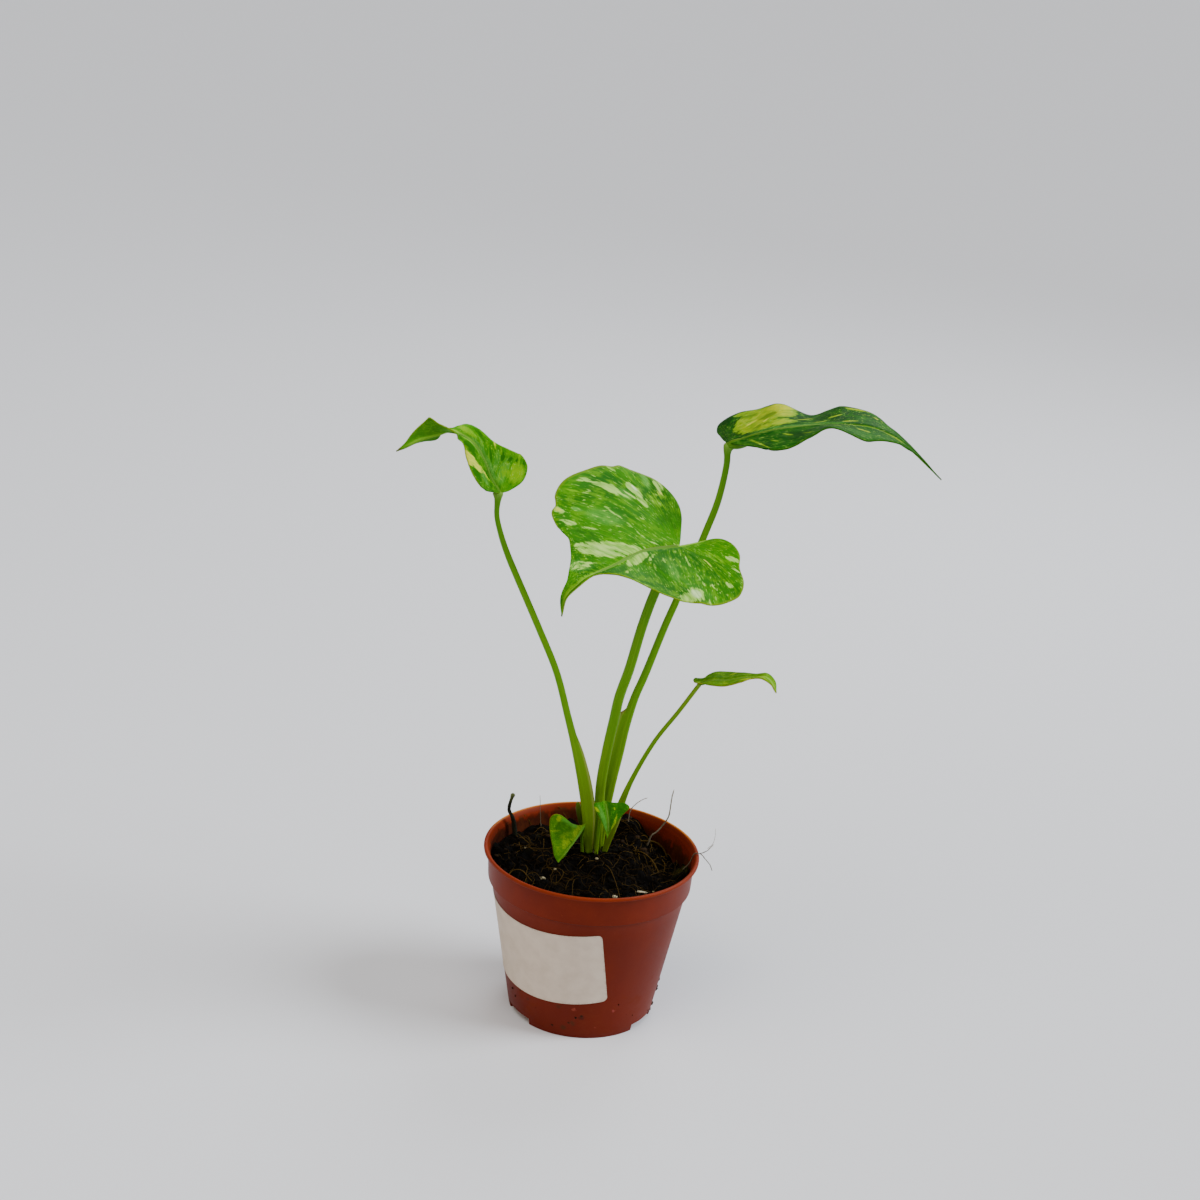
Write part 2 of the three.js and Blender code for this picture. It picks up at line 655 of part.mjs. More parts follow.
// A closed plate from a web of faces: the same web above and below, and a strip round the margin.
function thickened(points, faces, margin) {
  const normals = points.map(() => new THREE.Vector3());
  for (const [a, b, c] of faces) {
    const edge = points[b].clone().sub(points[a]);
    const normal = edge.cross(points[c].clone().sub(points[a]));
    for (const corner of [a, b, c]) normals[corner].add(normal);
  }
  const positions = [];
  for (const half of [bladeThickness / 2, -bladeThickness / 2]) {
    points.forEach((point, i) => {
      positions.push(...point.clone().addScaledVector(normals[i].clone().normalize(), half).toArray());
    });
  }
  const below = points.length;
  const index = [];
  for (const [a, b, c] of faces) index.push(a, b, c, a + below, c + below, b + below);
  margin.forEach((a, i) => {
    const b = margin[(i + 1) % margin.length];
    index.push(a, b, b + below, a, b + below, a + below);
  });
  const geometry = new THREE.BufferGeometry();
  geometry.setAttribute('position', new THREE.Float32BufferAttribute(positions, 3));
  return geometry.setIndex(index);
}

// Assembly

addPiece('pot', potGeometry(), finish.pot);
addPiece('label', labelGeometry(), finish.label);
addPiece('soil', soilGeometry(), finish.soil);
addPiece('crown', crownGeometry(), finish.crown);
for (const [name, stalk] of Object.entries(stalks)) {
  const look = finish[name] ?? finish.stalk;
  addPiece(name, bar(stalk, name.startsWith('petiole') ? 8 : 6), look);
}
for (const [name, leaf] of Object.entries(leaves)) {
  addPiece(name, bladeGeometry(leaf), finish.leaf);
}

export default plant;
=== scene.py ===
# A young variegated aroid in its nursery pot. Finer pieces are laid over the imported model.
# Lengths in the dictionaries are millimetres and become metres when the pieces are made.
import math
import random

import bmesh
import bpy
from mathutils import Matrix, Vector, noise


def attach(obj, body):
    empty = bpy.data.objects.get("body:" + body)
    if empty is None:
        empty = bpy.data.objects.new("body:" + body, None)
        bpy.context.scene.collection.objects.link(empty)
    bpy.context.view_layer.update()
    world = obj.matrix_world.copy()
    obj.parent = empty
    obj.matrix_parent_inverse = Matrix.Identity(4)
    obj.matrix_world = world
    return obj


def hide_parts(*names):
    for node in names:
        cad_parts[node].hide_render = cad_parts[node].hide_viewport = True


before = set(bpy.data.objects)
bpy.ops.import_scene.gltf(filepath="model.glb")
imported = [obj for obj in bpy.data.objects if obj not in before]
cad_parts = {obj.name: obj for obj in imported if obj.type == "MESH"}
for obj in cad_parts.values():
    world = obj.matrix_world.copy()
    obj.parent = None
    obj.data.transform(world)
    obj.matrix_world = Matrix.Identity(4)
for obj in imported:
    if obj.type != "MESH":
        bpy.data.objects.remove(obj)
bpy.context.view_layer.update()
mm = 0.001
print("frame loaded,", len(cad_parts), "nodes")


# Reading lists and walking routes

def clamp(value, low=0.0, high=1.0):
    return max(low, min(high, value))


def ease(value, low, high):
    t = clamp((value - low) / (high - low))
    return t * t * (3 - 2 * t)


def smoothValue(stops, at):
    # cubic reading of [place, value] stops, level at both ends
    last = len(stops) - 1
    at = clamp(at, stops[0][0], stops[last][0])
    i = 0
    while i < last - 1 and at > stops[i + 1][0]:
        i += 1

    def slope(k):
        if k in (0, last):
            return 0.0
        return (stops[k + 1][1] - stops[k - 1][1]) / (stops[k + 1][0] - stops[k - 1][0])

    span = stops[i + 1][0] - stops[i][0]
    t = (at - stops[i][0]) / span
    return (
        (2 * t**3 - 3 * t**2 + 1) * stops[i][1]
        + (t**3 - 2 * t**2 + t) * span * slope(i)
        + (3 * t**2 - 2 * t**3) * stops[i + 1][1]
        + (t**3 - t**2) * span * slope(i + 1)
    )


headingStep = 0.004


class Route:
    # a centripetal spline through points, walked by its share of the length

    def __init__(self, points, cuts=16):
        knots = [Vector(p) for p in points]
        knots = [2 * knots[0] - knots[1]] + knots + [2 * knots[-1] - knots[-2]]
        self.points = []
        for a, b, c, d in zip(knots, knots[1:], knots[2:], knots[3:]):
            self.points += self.stretch(a, b, c, d, cuts)
        self.points.append(knots[-2])
        self.walked = [0.0]
        for a, b in zip(self.points, self.points[1:]):
            self.walked.append(self.walked[-1] + (b - a).length)
        self.length = self.walked[-1]

    def stretch(self, a, b, c, d, cuts):
        gaps = [max(math.sqrt((q - p).length), 1e-4) for p, q in ((a, b), (b, c), (c, d))]
        leave = (b - a) / gaps[0] - (c - a) / (gaps[0] + gaps[1]) + (c - b) / gaps[1]
        arrive = (c - b) / gaps[1] - (d - b) / (gaps[1] + gaps[2]) + (d - c) / gaps[2]
        leave, arrive = leave * gaps[1], arrive * gaps[1]
        made = []
        for k in range(cuts):
            t = k / cuts
            bend = (2 * (b - c) + leave + arrive) * t**3
            made.append(bend + (3 * (c - b) - 2 * leave - arrive) * t**2 + leave * t + b)
        return made

    def find(self, share):
        goal = clamp(share) * self.length
        low, high = 0, len(self.walked) - 2
        while low < high:
            middle = (low + high + 1) // 2
            if self.walked[middle] <= goal:
                low = middle
            else:
                high = middle - 1
        step = self.walked[low + 1] - self.walked[low]
        return low, (goal - self.walked[low]) / step

    def point(self, share):
        i, t = self.find(share)
        return self.points[i].lerp(self.points[i + 1], t)

    def heading(self, share):
        near, far = max(0.0, share - headingStep), min(1.0, share + headingStep)
        return (self.point(far) - self.point(near)).normalized()


# Making pieces

def newMesh(name, bm, *materials):
    mesh = bpy.data.meshes.new(name)
    bm.to_mesh(mesh)
    bm.free()
    for material in materials:
        mesh.materials.append(material)
    return mesh


def newObject(name, data):
    made = bpy.data.objects.new(name, data)
    bpy.context.scene.collection.objects.link(made)
    return made


def addPiece(name, bm, node, materials, creaseAngle=None):
    # the mesh comes in millimetres
    bmesh.ops.scale(bm, vec=(mm, mm, mm), verts=bm.verts[:])
    mesh = newMesh(name, bm, *materials)
    mesh.polygons.foreach_set("use_smooth", [True] * len(mesh.polygons))
    if creaseAngle:
        mesh.set_sharp_from_angle(angle=math.radians(creaseAngle))
    piece = newObject(name, mesh)
    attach(piece, "root")
    if node:
        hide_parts(node)
    return piece


def spinProfile(bm, profile, steps, fromTurn=0.0, turn=360.0):
    # a closed or open [radius, z] outline turned about Z, azimuths measured from -Y towards +X
    start = Matrix.Rotation(math.radians(fromTurn - 90), 4, "Z")
    verts = [bm.verts.new(start @ Vector((radius, 0, z))) for radius, z in profile]
    edges = [bm.edges.new(pair) for pair in zip(verts, verts[1:])]
    bmesh.ops.spin(
        bm,
        geom=verts + edges,
        axis=(0, 0, 1),
        cent=(0, 0, 0),
        angle=math.radians(turn),
        steps=steps,
        use_merge=turn == 360.0,
    )


def closeUp(bm):
    bmesh.ops.remove_doubles(bm, verts=bm.verts[:], dist=1e-4)
    bmesh.ops.recalc_face_normals(bm, faces=bm.faces[:])


def wrapTube(bm, route, sides, steps, ring, layers=None):
    # a grid wrapped about a route: ring(turn, share) gives the offset across and to the front
    made = bmesh.ops.create_grid(bm, x_segments=steps, y_segments=sides, size=1)["verts"]
    places = {v: (round((v.co.x + 1) / 2, 6), round((v.co.y + 1) / 2, 6)) for v in made}
    known = {}
    for v, (share, turn) in places.items():
        key = round(share, 5)
        if key not in known:
            heading = route.heading(share)
            front = Vector((0, -1, 0))
            front = (front - heading * heading.dot(front)).normalized()
            known[key] = (route.point(share), heading.cross(front), front)
        middle, across, front = known[key]
        aside, ahead = ring(turn * 2 * math.pi, share)
        v.co = middle + across * aside + front * ahead
    if layers:
        for face in {f for v in made for f in v.link_faces}:
            for loop in face.loops:
                share, turn = places[loop.vert]
                loop[layers].uv = (turn, share)
    return made


# Node materials

def srgb(red, green, blue):
    values = [c / 255 for c in (red, green, blue)]
    return tuple(c / 12.92 if c < 0.04045 else ((c + 0.055) / 1.055) ** 2.4 for c in values) + (1,)


class Wire:
    # one output socket of a finish, with its maths

    def __init__(self, finish, socket):
        self.finish, self.socket = finish, socket

    def maths(self, operation, *values):
        return self.finish.add("Math", {"operation": operation}, dict(enumerate(values)))

    def eased(self, start, end):
        settings = {"interpolation_type": "SMOOTHSTEP"}
        values = {"Value": self, "From Min": start, "From Max": end}
        return self.finish.add("MapRange", settings, values)


def mathsMethod(operation, swapped):
    def method(self, *others):
        return self.maths(operation, *((*others, self) if swapped else (self, *others)))

    return method


for methodName, operation in {
    "__add__": "ADD",
    "__sub__": "SUBTRACT",
    "__mul__": "MULTIPLY",
    "__pow__": "POWER",
    "__radd__": "ADD",
    "__rsub__": "SUBTRACT",
    "__rmul__": "MULTIPLY",
    "absolute": "ABSOLUTE",
    "sine": "SINE",
    "high": "MAXIMUM",
    "low": "MINIMUM",
}.items():
    setattr(Wire, methodName, mathsMethod(operation, methodName.startswith("__r")))


class Finish:
    # a procedural material and the nodes that it is made of

    def __init__(self, name):
        self.material = bpy.data.materials.new(name)
        self.material.use_nodes = True
        self.tree = self.material.node_tree
        self.shader = self.tree.nodes["Principled BSDF"]
        self.colour = None

    def add(self, kind, settings=None, values=None, output=0):
        node = self.tree.nodes.new("ShaderNode" + kind)
        for key, value in (settings or {}).items():
            setattr(node, key, value)
        for key, value in (values or {}).items():
            self.feed(node.inputs[key], value)
        return Wire(self, node.outputs[output])

    def feed(self, socket, value):
        if isinstance(value, Wire):
            self.tree.links.new(value.socket, socket)
        else:
            socket.default_value = value

    def set(self, **values):
        for key, value in values.items():
            self.feed(self.shader.inputs[key.replace("_", " ")], value)
        return self.material

    def done(self, rough, height, distance, strength, **values):
        relief = {"Height": height, "Distance": distance, "Strength": strength}
        self.set(Base_Color=self.colour, Roughness=rough, Normal=self.add("Bump", None, relief))
        return self.set(**values)

    def objectPlace(self):
        return self.add("TexCoord", output="Object")

    def scaled(self, vector, x, y, z):
        return self.add("VectorMath", {"operation": "MULTIPLY"}, {0: vector, 1: (x, y, z)})

    def axes(self, vector):
        node = self.add("SeparateXYZ", None, {0: vector}).socket.node
        return [Wire(self, socket) for socket in node.outputs]

    def joined(self, x, y, z=0.0):
        return self.add("CombineXYZ", None, {0: x, 1: y, 2: z})

    def noise(self, vector, scale, detail=2.0, roughness=0.5):
        values = {"Vector": vector, "Scale": scale, "Detail": detail, "Roughness": roughness}
        return self.add("TexNoise", None, values)

    def mix(self, factor, *tints):
        # the two tints are wires, or red, green and blue
        first, second = (tint if isinstance(tint, Wire) else srgb(*tint) for tint in tints)
        return self.add("Mix", {"data_type": "RGBA"}, {0: factor, 6: first, 7: second}, output=2)

    def paint(self, amount, tint):
        # lays a tint over the colour so far
        self.colour = self.mix(amount, self.colour, tint)

    def attribute(self, name, output="Fac"):
        return self.add("Attribute", {"attribute_name": name}, output=output)

    def uv(self, name):
        return self.add("UVMap", {"uv_map": name})

    def darkerTowardFront(self, amount):
        # the potting mix is painted darker towards the front
        _, y, _ = self.axes(self.objectPlace())
        self.paint((1 - y.eased(-0.012, 0.024)) * amount, (2, 1, 1))


# Camera and light first

photoView = {
    "place": (-4.899, -943.529, 546.339),
    "right": (0.99681, 0.02855, 0.07457),
    "up": (-0.07985, 0.35641, 0.93091),
    "lens": 75,
    "sensor": 36,
    "clipStart": 0.02,
}
cameraData = bpy.data.cameras.new("photoCamera")
cameraData.lens = photoView["lens"]
cameraData.sensor_width = photoView["sensor"]
cameraData.clip_start = photoView["clipStart"]
camera = newObject("photoCamera", cameraData)
rightward, upward = Vector(photoView["right"]).normalized(), Vector(photoView["up"]).normalized()
backward = rightward.cross(upward)
turned = Matrix((rightward, backward.cross(rightward), backward)).transposed()
camera.matrix_world = Matrix.Translation(Vector(photoView["place"]) * mm) @ turned.to_4x4()
bpy.context.scene.camera = camera

# a lamp's kind, place, aim height, size in degrees or millimetres, power and tint
lamps = {
    "windowSun": ("SUN", (900, -60, 760), 60, 30, 3.7, (0.94, 0.98, 1)),
    "fillSun": ("SUN", (-700, -500, 700), 60, 60, 1.0, (1, 0.84, 0.62)),
    "topSoftbox": ("AREA", (-120, -380, 980), 150, 700, 4.5, (1, 0.98, 0.95)),
    "backSoftbox": ("AREA", (350, 800, 800), 150, 700, 5, (0.94, 0.98, 1)),
}
studio = {"skyTint": (0.86, 0.86, 0.88, 1), "skyStrength": 0.31, "floorSize": 12}
for lampName, (kind, place, aimHeight, size, power, tint) in lamps.items():
    lampData = bpy.data.lights.new(lampName, kind)
    if kind == "SUN":
        lampData.angle = math.radians(size)
    else:
        lampData.shape = "DISK"
        lampData.size = size * mm
    lampData.energy = power
    lampData.color = tint
    lampObject = newObject(lampName, lampData)
    toward = Vector((0, 0, aimHeight)) - Vector(place)
    lampTurn = toward.to_track_quat("-Z", "Y").to_matrix().to_4x4()
    lampObject.matrix_world = Matrix.Translation(Vector(place) * mm) @ lampTurn
sky = bpy.data.worlds.new("softSky")
sky.use_nodes = True
background = sky.node_tree.nodes["Background"].inputs
background["Color"].default_value = studio["skyTint"]
background["Strength"].default_value = studio["skyStrength"]
bpy.context.scene.world = sky

floorFinish = Finish("paleFloor")
floorFinish.set(Base_Color=srgb(220, 221, 227), Roughness=0.85)
floorMesh = bmesh.new()
bmesh.ops.create_grid(floorMesh, x_segments=1, y_segments=1, size=studio["floorSize"])
floorPiece = newObject("studioFloor", newMesh("studioFloor", floorMesh, floorFinish.material))
print("camera, lights and floor")


# Pot

pot = {
    "height": 73.4,
    "footRadius": 30.5,
    "bandStep": 59.5,
    "wallTop": 41.4,
    "bandLow": 42.8,
    "bandHigh": 43.5,
    "rim": 45.4,
    "rimHeight": 1.5,
    "wall": 0.95,
    "floorUnder": 3.4,
    "floorTop": 4.4,
    "footWidth": 1.9,
    "pad": 8,
    "notchWidth": 31,
    "notchHeight": 3,
    "firstNotch": 62.5,
    "drains": 6,
    "drainRadius": 2.6,
    "drainCircle": 19,
    "drainSides": 32,
    "drainCut": 4,
    "feet": 3,
    "crease": 32,
}
# how much wider the wall gets with height
wallSlope = (pot["wallTop"] - pot["footRadius"]) / pot["bandStep"]


def rounded(corner, before, after, radius, cuts=3):
    # a corner of an outline replaced with a small arc
    corner, before, after = Vector(corner), Vector(before), Vector(after)
    start = corner + (before - corner).normalized() * radius
    end = corner + (after - corner).normalized() * radius
    return [
        tuple((1 - t) ** 2 * start + 2 * t * (1 - t) * corner + t**2 * end)
        for t in (k / cuts for k in range(cuts + 1))
    ]


def roundedOutline(points):
    # points are (radius, z, rounding)
    made = []
    for i, (x, z, r) in enumerate(points):
        if r:
            made += rounded((x, z), points[i - 1][:2], points[i + 1][:2], r)
        else:
            made.append((x, z))
    return made


def potMesh():
    bm = bmesh.new()
    rimBase = pot["height"] - pot["rimHeight"]
    notchZ = pot["notchHeight"]
    innerFoot = pot["footRadius"] - pot["footWidth"]
    upper = [
        (pot["footRadius"] + wallSlope * notchZ, notchZ, 0),
        (pot["footRadius"] + wallSlope * 24, 24, 0),
        (pot["wallTop"] - wallSlope * 6, pot["bandStep"] - 6, 0),
        (pot["wallTop"], pot["bandStep"], 0.4),
        (pot["bandLow"], pot["bandStep"], 0.5),
        (pot["bandHigh"], rimBase - 0.1, 0.25),
        (pot["rim"], rimBase + 0.1, 0.5),
        (pot["rim"] - 0.1, pot["height"], 0.5),
        (pot["rim"] - 1.5, pot["height"], 0.5),
        (pot["bandHigh"] - pot["wall"], rimBase - 1.2, 0.5),
        (pot["bandLow"] - pot["wall"], pot["bandStep"] + 0.8, 0.5),
        (pot["wallTop"] - pot["wall"], pot["bandStep"] - 0.5, 0.5),
        (pot["footRadius"] - pot["wall"] + 0.4, pot["floorTop"] + 1.2, 0.8),
        (pot["footRadius"] - pot["wall"] - 1.4, pot["floorTop"], 0.5),
        (0, pot["floorTop"], 0),
    ]
    under = [
        (0, 0, 0),
        (pot["pad"], 0, 0.3),
        (pot["pad"], pot["floorUnder"], 0.3),
        (innerFoot, pot["floorUnder"], 0.2),
        (innerFoot, notchZ, 0),
    ]
    feet = [(innerFoot, 0, 0.3), (pot["footRadius"], 0, 0.3)]
    third = 360 / pot["feet"]
    footTurn = third - pot["notchWidth"]
    for i in range(pot["feet"]):
        notchStart = pot["firstNotch"] - pot["notchWidth"] / 2 + third * i
        whole = roundedOutline(under + feet + upper)
        spinProfile(bm, whole, 28, notchStart + pot["notchWidth"], footTurn)
        cut = roundedOutline(under + upper)
        spinProfile(bm, cut, 10, notchStart, pot["notchWidth"])
    bmesh.ops.remove_doubles(bm, verts=bm.verts[:], dist=1e-3)
    openEdges = [e for e in bm.edges if len(e.link_faces) == 1]
    bmesh.ops.holes_fill(bm, edges=openEdges, sides=0)
    bmesh.ops.recalc_face_normals(bm, faces=bm.faces[:])
    return bm


def drainHoles():
    bm = bmesh.new()
    for i in range(pot["drains"]):
        turn = 2 * math.pi * i / pot["drains"]
        place = Vector((math.cos(turn), math.sin(turn), 0)) * pot["drainCircle"] * mm
        place.z = (pot["floorUnder"] + pot["floorTop"]) / 2 * mm
        bmesh.ops.create_cone(
            bm,
            cap_ends=True,
            segments=pot["drainSides"],
            radius1=pot["drainRadius"] * mm,
            radius2=pot["drainRadius"] * mm,
            depth=pot["drainCut"] * mm,
            matrix=Matrix.Translation(place),
        )
    return newObject("drainCutter", newMesh("drainCutter", bm))


def applyModifiers(piece):
    depsgraph = bpy.context.evaluated_depsgraph_get()
    baked = bpy.data.meshes.new_from_object(piece.evaluated_get(depsgraph))
    piece.modifiers.clear()
    old = piece.data
    piece.data = baked
    bpy.data.meshes.remove(old)


# smears of dirt on the front of the wall: across, height, spread and tint
smears = [
    (1.4, 10.8, 1.9, (48, 12, 4)), (-2.4, 7.7, 1.5, (62, 34, 10)), (-5.9, 4.9, 1.4, (58, 34, 10)),
    (-8.6, 15.4, 1.2, (66, 30, 8)), (14.3, 13.9, 1.1, (150, 62, 58)),
    (7.3, 5.9, 1.0, (146, 60, 50)), (-2.1, 14.9, 1.0, (142, 60, 44)),
    (-21.7, 13.6, 1.3, (50, 20, 8)),
]


def potPlastic():
    look = Finish("mouldedTerracottaPlastic")
    place = look.objectPlace()
    x, y, z = look.axes(place)
    cloud = look.noise(place, 45, 3, 0.6)
    fine = look.noise(place, 900, 2, 0.7)
    reach = (x * x + y * y) ** 0.5
    look.colour = look.mix(cloud.eased(0.3, 0.75), (96, 22, 3), (110, 30, 5))
    look.paint(fine.eased(0.62, 0.8) * 0.35, (138, 58, 34))
    # a painted highlight makes the lip paler
    lipHighlight = z.eased(0.0716, 0.0732)
    look.paint(lipHighlight * 0.35, (140, 50, 12))
    # below the band the wall is painted darker where it takes less light, and painted shade darkens
    # the corner under the band
    look.paint((1 - z.eased(0.05, 0.0585)) * 0.4, (80, 15, 2))
    underBandShade = z.eased(0.0584, 0.0592) * (1 - z.eased(0.0595, 0.06))
    look.paint(underBandShade * 0.75, (52, 12, 4))
    # light comes through the thin lip at the back
    thinLip = z.eased(0.0727, 0.0733) * y.eased(0.006, 0.024) * reach.eased(0.0438, 0.0446)
    look.paint(thinLip * 0.7, (206, 128, 10))
    # soil that has dried on the inside of the wall, and splashes outside near the foot
    wallMiddle = (pot["footRadius"] - pot["wall"] / 2) * mm + z * wallSlope
    bandMiddle = (pot["bandLow"] - pot["wall"] / 2) * mm + (z - pot["bandStep"] * mm) * 0.06
    inBand = z.eased((pot["bandStep"] - 0.2) * mm, (pot["bandStep"] + 0.2) * mm)
    middle = wallMiddle + (bandMiddle - wallMiddle) * inBand
    inside = 1 - (reach - middle).eased(-0.0002, 0.0002)
    # painted light: the inside of the wall is painted brighter where little light reaches it
    look.paint(inside * 0.2, (140, 44, 9))
    grime = look.noise(look.scaled(place, 1, 1, 0.6), 170, 4, 0.7)
    backLeft = 1 - x.eased(-0.012, 0.016)
    wet = (grime + (0.0695 - z) * 60 + backLeft * 0.21).eased(0.5, 0.74)
    dirt = look.mix(grime.eased(0.4, 0.62), (20, 8, 3), (58, 28, 9))
    look.paint(inside * wet * 0.85 * z.eased(0.045, 0.055), dirt)
    specks = look.noise(place, 420, 3, 0.55).eased(0.71, 0.76) * (1 - z.eased(0.008, 0.035))
    look.paint(specks * 0.8, (34, 13, 6))
    for smearX, smearZ, spread, tint in smears:
        away = ((x - smearX * mm) ** 2 + (z - smearZ * mm) ** 2) ** 0.5
        away = away + (cloud + fine - 1) * 0.003
        smear = (1 - away.eased(spread * 0.3 * mm, spread * mm)) * (1 - y.eased(-0.02, -0.01))
        look.paint(smear * 0.6, tint)
    scuffs = look.noise(look.scaled(place, 1, 1, 2.2), 160, 4, 0.7).eased(0.70, 0.78)
    look.paint(scuffs * 0.35, (66, 26, 14))
    dust = look.noise(look.scaled(place, 1, 1, 1.6), 75, 4, 0.7).eased(0.56, 0.72)
    dust = dust * (1 - z.eased(0.012, 0.05)) * (1 - inside)
    look.paint(dust * 0.22, (112, 56, 34))
    rough = 0.40 + cloud * 0.12 + fine * 0.06 + specks * 0.3 + dust * 0.2 + inside * 0.25
    height = fine * 0.6 + look.noise(place, 260, 2) * 0.4
    gloss = {"Specular_IOR_Level": 0.14, "Specular_Tint": (1, 0.7, 0.55, 1)}
    return look.done(rough, height, 0.00006, 0.5, **gloss)


potShell = addPiece("potShell", potMesh(), "pot", [potPlastic()])
cutter = drainHoles()
holes = potShell.modifiers.new("drains", "BOOLEAN")
holes.object = cutter
holes.operation = "DIFFERENCE"
holes.solver = "EXACT"
applyModifiers(potShell)
bpy.data.objects.remove(cutter)
potShell.data.polygons.foreach_set("use_smooth", [True] * len(potShell.data.polygons))
potShell.data.set_sharp_from_angle(angle=math.radians(pot["crease"]))
print("pot")


# Label, left blank

label = {
    "width": 73,
    "height": 35.5,
    "corner": 2.2,
    "azimuth": -42.1,
    "middle": 203.9,
    "standOff": 0.12,
    "thickness": 0.14,
    "edgeLift": 0.12,
    "columns": 110,
    "rows": 56,
}


def labelMesh():
    bm = bmesh.new()
    sheetUv = bm.loops.layers.uv.new("sheet")
    columns, rows = label["columns"], label["rows"]
    verts = bmesh.ops.create_grid(bm, x_segments=columns, y_segments=rows, size=1)["verts"]
    tilt = math.atan(wallSlope)
    apexZ = -pot["footRadius"] / math.tan(tilt)
    half = label["height"] / 2
    for v in verts:
        down = math.sin(v.co.y * math.pi / 2)
        nearEnd = max(0.0, abs(down) * half - (half - label["corner"]))
        cut = label["corner"] - math.sqrt(max(0.0, label["corner"] ** 2 - nearEnd**2))
        flatX = v.co.x * (label["width"] / 2 - cut)
        flatY = label["middle"] + down * half
        v.co = (flatX, flatY, 0)
    for face in bm.faces:
        for loop in face.loops:
            loop[sheetUv].uv = (loop.vert.co.x / 100, (loop.vert.co.y - label["middle"]) / 100)
    for v in verts:
        flatX, flatY = v.co.x, v.co.y
        toEdge = min(label["width"] / 2 - abs(flatX), half - abs(flatY - label["middle"]))
        lift = label["standOff"] + label["edgeLift"] * math.exp(-max(toEdge, 0) / 1.2)
        lift += 0.05 * noise.noise(Vector((flatX, flatY, 0)) / 9)
        slant = math.hypot(flatX, flatY)
        azimuth = math.radians(label["azimuth"]) + math.atan2(flatX, flatY) / math.sin(tilt)
        reach = slant * math.sin(tilt) + lift * math.cos(tilt)
        high = apexZ + slant * math.cos(tilt) - lift * math.sin(tilt)
        v.co = (reach * math.sin(azimuth), -reach * math.cos(azimuth), high)
    bmesh.ops.recalc_face_normals(bm, faces=bm.faces[:])
    outward = sum(f.normal.dot(f.calc_center_median() * Vector((1, 1, 0))) for f in bm.faces)
    if outward < 0:
        bmesh.ops.reverse_faces(bm, faces=bm.faces[:])
    bmesh.ops.solidify(bm, geom=bm.faces[:], thickness=label["thickness"])
    bmesh.ops.recalc_face_normals(bm, faces=bm.faces[:])
    return bm


def labelPaper():
    look = Finish("blankLabelPaper")
    flat = look.uv("sheet")
    u, v, _ = look.axes(flat)
    fibre = look.noise(look.scaled(flat, 1, 2.4, 1), 900, 4, 0.6)
    cloud = look.noise(flat, 14, 3, 0.55)
    look.colour = look.mix(cloud.eased(0.3, 0.75), (205, 190, 172), (194, 177, 158))
    look.paint(fibre.eased(0.55, 0.8) * 0.25, (176, 160, 140))
    edge = (0.1775 - v.absolute()).low(0.365 - u.absolute())
    grime = (1 - edge.eased(0.0, 0.012)) * look.noise(flat, 120, 3).eased(0.4, 0.7)
    look.paint(grime * 0.5, (140, 104, 78))
    crease = look.noise(look.scaled(flat, 1, 0.25, 1), 22, 2)
    return look.done(0.62 + fibre * 0.12, fibre * 0.35 + crease, 0.00008, 0.6)


addPiece("blankLabel", labelMesh(), "label", [labelPaper()], 50)
print("label")


# Potting mix

mix = {
    "level": 65.6,
    "moundRise": 2.9,
    "moundSpread": 15,
    "rightDrop": 3.2,
    "lumps": [(0.9, 0.31, 0.27, 0.8), (0.6, 0.83, -0.46, 2), (0.4, 0.52, 1.13, 1)],
    "heaps": [(16, 37, 6, 7.5), (42, 3, 3.2, 6), (33, 19, -1, 6), (-39, 6, 2.8, 8)],
    "wallGap": 0.25,
    "rings": 74,
    "steps": 260,
    "crumbs": 1900,
    "chips": 120,
    "fibres": 520,
    "seed": 11,
}
crown = {
    "x": 0.8,
    "y": 9.2,
    "radius": 5.4,
    "shoulder": 64.8,
    "rise": 3.8,
    "root": 12,
    "narrowing": 0.45,
}


def innerRadius(z):
    if z < pot["bandStep"]:
        low, high = (pot["footRadius"] - 0.6, pot["floorTop"]), (pot["wallTop"], pot["bandStep"])
    else:
        low, high = (pot["wallTop"], pot["bandStep"]), (pot["bandHigh"], pot["height"] - 2.3)
    share = (z - low[1]) / (high[1] - low[1])
    return low[0] + (high[0] - low[0]) * share - pot["wall"]


def mixLevel(x, y):
    fromCrown = math.hypot(x - crown["x"], y - crown["y"]) / mix["moundSpread"]
    z = mix["level"] + mix["moundRise"] * math.exp(-(fromCrown**2))
    z -= mix["rightDrop"] * ease(x, 12, 38)
    lumpiness = ease(fromCrown, 0.4, 1)
    for high, alongX, alongY, phase in mix["lumps"]:
        z += lumpiness * high * math.sin(alongX * x + alongY * y + phase)
    for heapX, heapY, rise, spread in mix["heaps"]:
        z += rise * math.exp(-((x - heapX) ** 2 + (y - heapY) ** 2) / spread**2)
    return z


def mixHeight(x, y):
    # the level with clods and grit on it
    flat = Vector((x, y, 3.7))
    clods = noise.noise(flat / 3.4) * 1.1 + abs(noise.noise(flat / 1.7)) * 0.9
    grit = noise.noise(flat / 0.8) * 0.45
    return mixLevel(x, y) + clods + grit - 0.5


def mixMesh():
    bm = bmesh.new()
    bottom = pot["floorTop"] + 0.3
    edge = innerRadius(mix["level"]) - mix["wallGap"]
    outline = [(0, bottom), (innerRadius(bottom) - 0.3, bottom), (innerRadius(58) - 0.3, 58)]
    outline += [(edge * (1 - k / mix["rings"]), mix["level"]) for k in range(mix["rings"] + 1)]
    spinProfile(bm, outline, mix["steps"])
    closeUp(bm)
    for v in bm.verts:
        if v.co.z < mix["level"] - 0.01:
            continue
        x, y = v.co.x, v.co.y
        z = mixHeight(x, y)
        stretch = (innerRadius(z) - mix["wallGap"]) / edge
        v.co = (x * stretch, y * stretch, z)
    return bm


